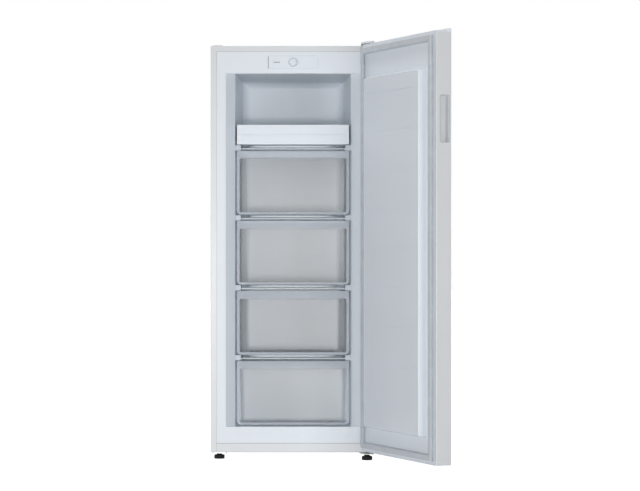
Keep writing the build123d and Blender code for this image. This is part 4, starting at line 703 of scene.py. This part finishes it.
# ---- Fine lines where pieces meet: grey lines of painted shade, and a white bead --------------
LIP_X, LIP_TOP, RAIL_TOP, RAIL_FOOT = 260.0, 1386.0, 54.0, 24.0
MOUTH_HALF, MOUTH_TOP, MOUTH_FOOT = 229.5, 1311.5, 108.0
BEAD_SUNK = 0.6
JOINT_R, MOUTH_R, RAIL_R, GAP_R, PLATE_R, CUP_R = 0.6, 1.3, 0.7, 0.9, 0.5, 0.8
PLATE_CORNER = 4.0
GRIP_EDGE, GRIP_W, GRIP_Z0, GRIP_Z1, GRIP_CORNER, GRIP_OUT = 8.0, 33.0, 1051.0, 1202.0, 6.0, 0.2
PLATEAU_X, PLATEAU_RISE, PLATEAU_FOOT, PLATEAU_TOP = 206.0, 28.0, 124.0, 1282.0
PLATEAU_ROUND, PLATEAU_SUNK = 4.0, 3.4


def bead(name, node, ends, radius, finish):
    """A thin line along the cabinet's front, sunk a little into it."""
    sunk = Vector((0, radius * BEAD_SUNK * MM, 0))
    bm = bmesh.new()
    add_tube(bm, [Vector((x, FRONT, z)) * MM + sunk for x, z in ends], radius * MM)
    finish_piece(bm, name, node, replaced=False, finish=finish)


def loop_normal(loop):
    third = len(loop) // 3
    return (loop[third] - loop[0]).cross(loop[2 * third] - loop[0]).normalized()


def outline(name, node, loop, radius):
    """A thin round line of painted shade along a closed loop."""
    up = loop_normal(loop)
    rings = []
    for i, point in enumerate(loop):
        tangent = (loop[(i + 1) % len(loop)] - loop[i - 1]).normalized()
        side = tangent.cross(up).normalized()
        rings.append([point + (side * math.cos(t) + up * math.sin(t)) * radius * MM for t in turns(8)])
    bm = bmesh.new()
    add_rings(bm, rings, closed=True)
    finish_piece(bm, name, node, replaced=False, finish=PAINTED_SHADE_LINE)


def cabinet_lines():
    """Grey lines of painted shade at the joints of liner, top and rail, and the soft bead along the sides of
    the mouth.
    """
    for sign, side in ((-1, "left"), (1, "right")):
        x = sign * LIP_X
        bead(f"{side}_joint_shade_line", "inner_liner", [(x, RAIL_FOOT), (x, LIP_TOP)], JOINT_R, PAINTED_SHADE_LINE)
        x = sign * MOUTH_HALF
        ends = [(x, MOUTH_FOOT), (x, MOUTH_TOP)]
        bead(f"{side}_mouth_bead", "inner_liner", ends, MOUTH_R, materials["white_plastic"])
    bead("lip_joint_shade_line", "top_panel", [(-LIP_X, LIP_TOP), (LIP_X, LIP_TOP)], JOINT_R, PAINTED_SHADE_LINE)
    bead("rail_joint_shade_line", "bottom_rail", [(-LIP_X, RAIL_TOP), (LIP_X, RAIL_TOP)], RAIL_R, PAINTED_SHADE_LINE)


def plate_lines():
    """A near-black strip of painted shadow in the gap at the control plate's left end, and a grey line of
    painted shade along the joint round the plate.
    """
    low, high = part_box("control_plate")
    x = low.x / MM - GAP_R
    bead("plate_gap_shadow", "control_fascia", [(x, low.z / MM + 1), (x, high.z / MM - 1)], GAP_R, PAINTED_SHADOW_GAP)
    loop = rounded_loop(low.x, high.x, low.z, high.z, PLATE_CORNER * MM, 0)
    outline("plate_joint_shade", "control_fascia", [Vector((p.x, FRONT * MM, p.y)) for p in loop], PLATE_R)


def grip_rim():
    """A grey line of painted shade round the handle recess, in the door's free edge."""
    start = DOOR_OUT + GRIP_EDGE
    loop = rounded_loop(start, start + GRIP_W, GRIP_Z0, GRIP_Z1, GRIP_CORNER, 0)
    outline("cup_rim_shade", "handle_cup", [swung(-DOOR_HALF - GRIP_OUT, p.x, p.y) for p in loop], CUP_R)


def plateau_round():
    """The round along the hinge-side edge of the raised lining."""
    x, y = PLATEAU_X - PLATEAU_SUNK, DOOR_IN + PLATEAU_RISE - PLATEAU_SUNK
    bm = bmesh.new()
    add_tube(bm, [swung(x, y, z) for z in (PLATEAU_FOOT, PLATEAU_TOP)], PLATEAU_ROUND * MM, 24)
    finish_piece(bm, "lining_round", "door_inner_panel", replaced=False)


cabinet_lines()
plate_lines()
grip_rim()
plateau_round()
knob_shadow_ring()

# ---- Floor, world and lamps -------------------------------------------------------------------
FLOOR_HALF, FLOOR_GREY, FLOOR_GLOW = 30.0, 0.7, 0.95
WORLD_LIGHT = 0.18
# name, place, point it is aimed at, size and power
LAMPS = (
    ("front", (0.1, -7.6, 0.5), (0.0, 0, 0.70), (0.9, 0.7), 138),
    ("right", (3.2, -5.9, 0.6), (0.0, 0, 0.72), (1.4, 1.6), 70),
    ("left", (-4.4, -4.9, 0.6), (0.1, 0, 0.70), (1.4, 1.6), 85),
    ("top", (-0.8, 0.4, 4.6), (0.0, 0, 1.2), (2.0, 2.0), 70),
    ("back_right", (3.2, 4.6, 0.7), (0.0, 0, 0.7), (2.2, 1.2), 60),
    ("back_left", (-3.6, 4.2, 0.7), (0.0, 0, 0.7), (2.2, 1.2), 50),
)


def seen_directly(tree):
    """One where the camera, clear plastic or a reflection looks at the surface, zero for its light."""
    path = tree.nodes.new("ShaderNodeLightPath").outputs
    seen = path["Is Camera Ray"]
    for ray in ("Is Transmission Ray", "Is Glossy Ray"):
        either = tree.nodes.new("ShaderNodeMath")
        either.operation = "MAXIMUM"
        tree.links.new(seen, either.inputs[0])
        tree.links.new(path[ray], either.inputs[1])
        seen = either.outputs[0]
    return seen


def stage_floor():
    """A pale matt floor that looks white and keeps the object's shadow."""
    mesh = bpy.data.meshes.new("floor")
    half = FLOOR_HALF
    corners = [(-half, -half, 0), (half, -half, 0), (half, half, 0), (-half, half, 0)]
    mesh.from_pydata(corners, [], [(0, 1, 2, 3)])
    floor = bpy.data.objects.new("floor", mesh)
    bpy.context.scene.collection.objects.link(floor)
    material = bpy.data.materials.new("floor")
    material.use_nodes = True
    tree = material.node_tree
    tree.nodes.clear()
    strength = tree.nodes.new("ShaderNodeMath")
    strength.operation = "MULTIPLY"
    tree.links.new(seen_directly(tree), strength.inputs[0])
    strength.inputs[1].default_value = FLOOR_GLOW
    glow = tree.nodes.new("ShaderNodeEmission")
    tree.links.new(strength.outputs[0], glow.inputs["Strength"])
    matt = tree.nodes.new("ShaderNodeBsdfDiffuse")
    matt.inputs["Color"].default_value = rgb(FLOOR_GREY, FLOOR_GREY, FLOOR_GREY)
    both = tree.nodes.new("ShaderNodeAddShader")
    tree.links.new(glow.outputs[0], both.inputs[0])
    tree.links.new(matt.outputs[0], both.inputs[1])
    out = tree.nodes.new("ShaderNodeOutputMaterial")
    tree.links.new(both.outputs[0], out.inputs["Surface"])
    mesh.materials.append(material)


def world(level):
    """A world that looks white and lights the object at a level of its own."""
    scene_world = bpy.data.worlds.new("world")
    bpy.context.scene.world = scene_world
    scene_world.use_nodes = True
    tree = scene_world.node_tree
    tree.nodes.clear()
    strength = tree.nodes.new("ShaderNodeMapRange")
    tree.links.new(seen_directly(tree), strength.inputs["Value"])
    strength.inputs["To Min"].default_value = level
    strength.inputs["To Max"].default_value = 1.0
    back = tree.nodes.new("ShaderNodeBackground")
    back.inputs["Color"].default_value = rgb(1.0, 1.0, 1.0)
    tree.links.new(strength.outputs["Result"], back.inputs["Strength"])
    out = tree.nodes.new("ShaderNodeOutputWorld")
    tree.links.new(back.outputs[0], out.inputs["Surface"])


def lamp(name, at, aim, size, power):
    """A square or oblong lamp, aimed at a point."""
    data = bpy.data.lights.new(name, "AREA")
    data.shape = "RECTANGLE"
    data.size, data.size_y = size
    data.energy = power
    item = bpy.data.objects.new(name, data)
    item.location = at
    item.rotation_euler = (Vector(aim) - Vector(at)).to_track_quat("-Z", "Y").to_euler()
    bpy.context.scene.collection.objects.link(item)


camera()
stage_floor()
world(WORLD_LIGHT)
for row in LAMPS:
    lamp(*row)
bpy.context.scene.view_settings.view_transform = "Standard"
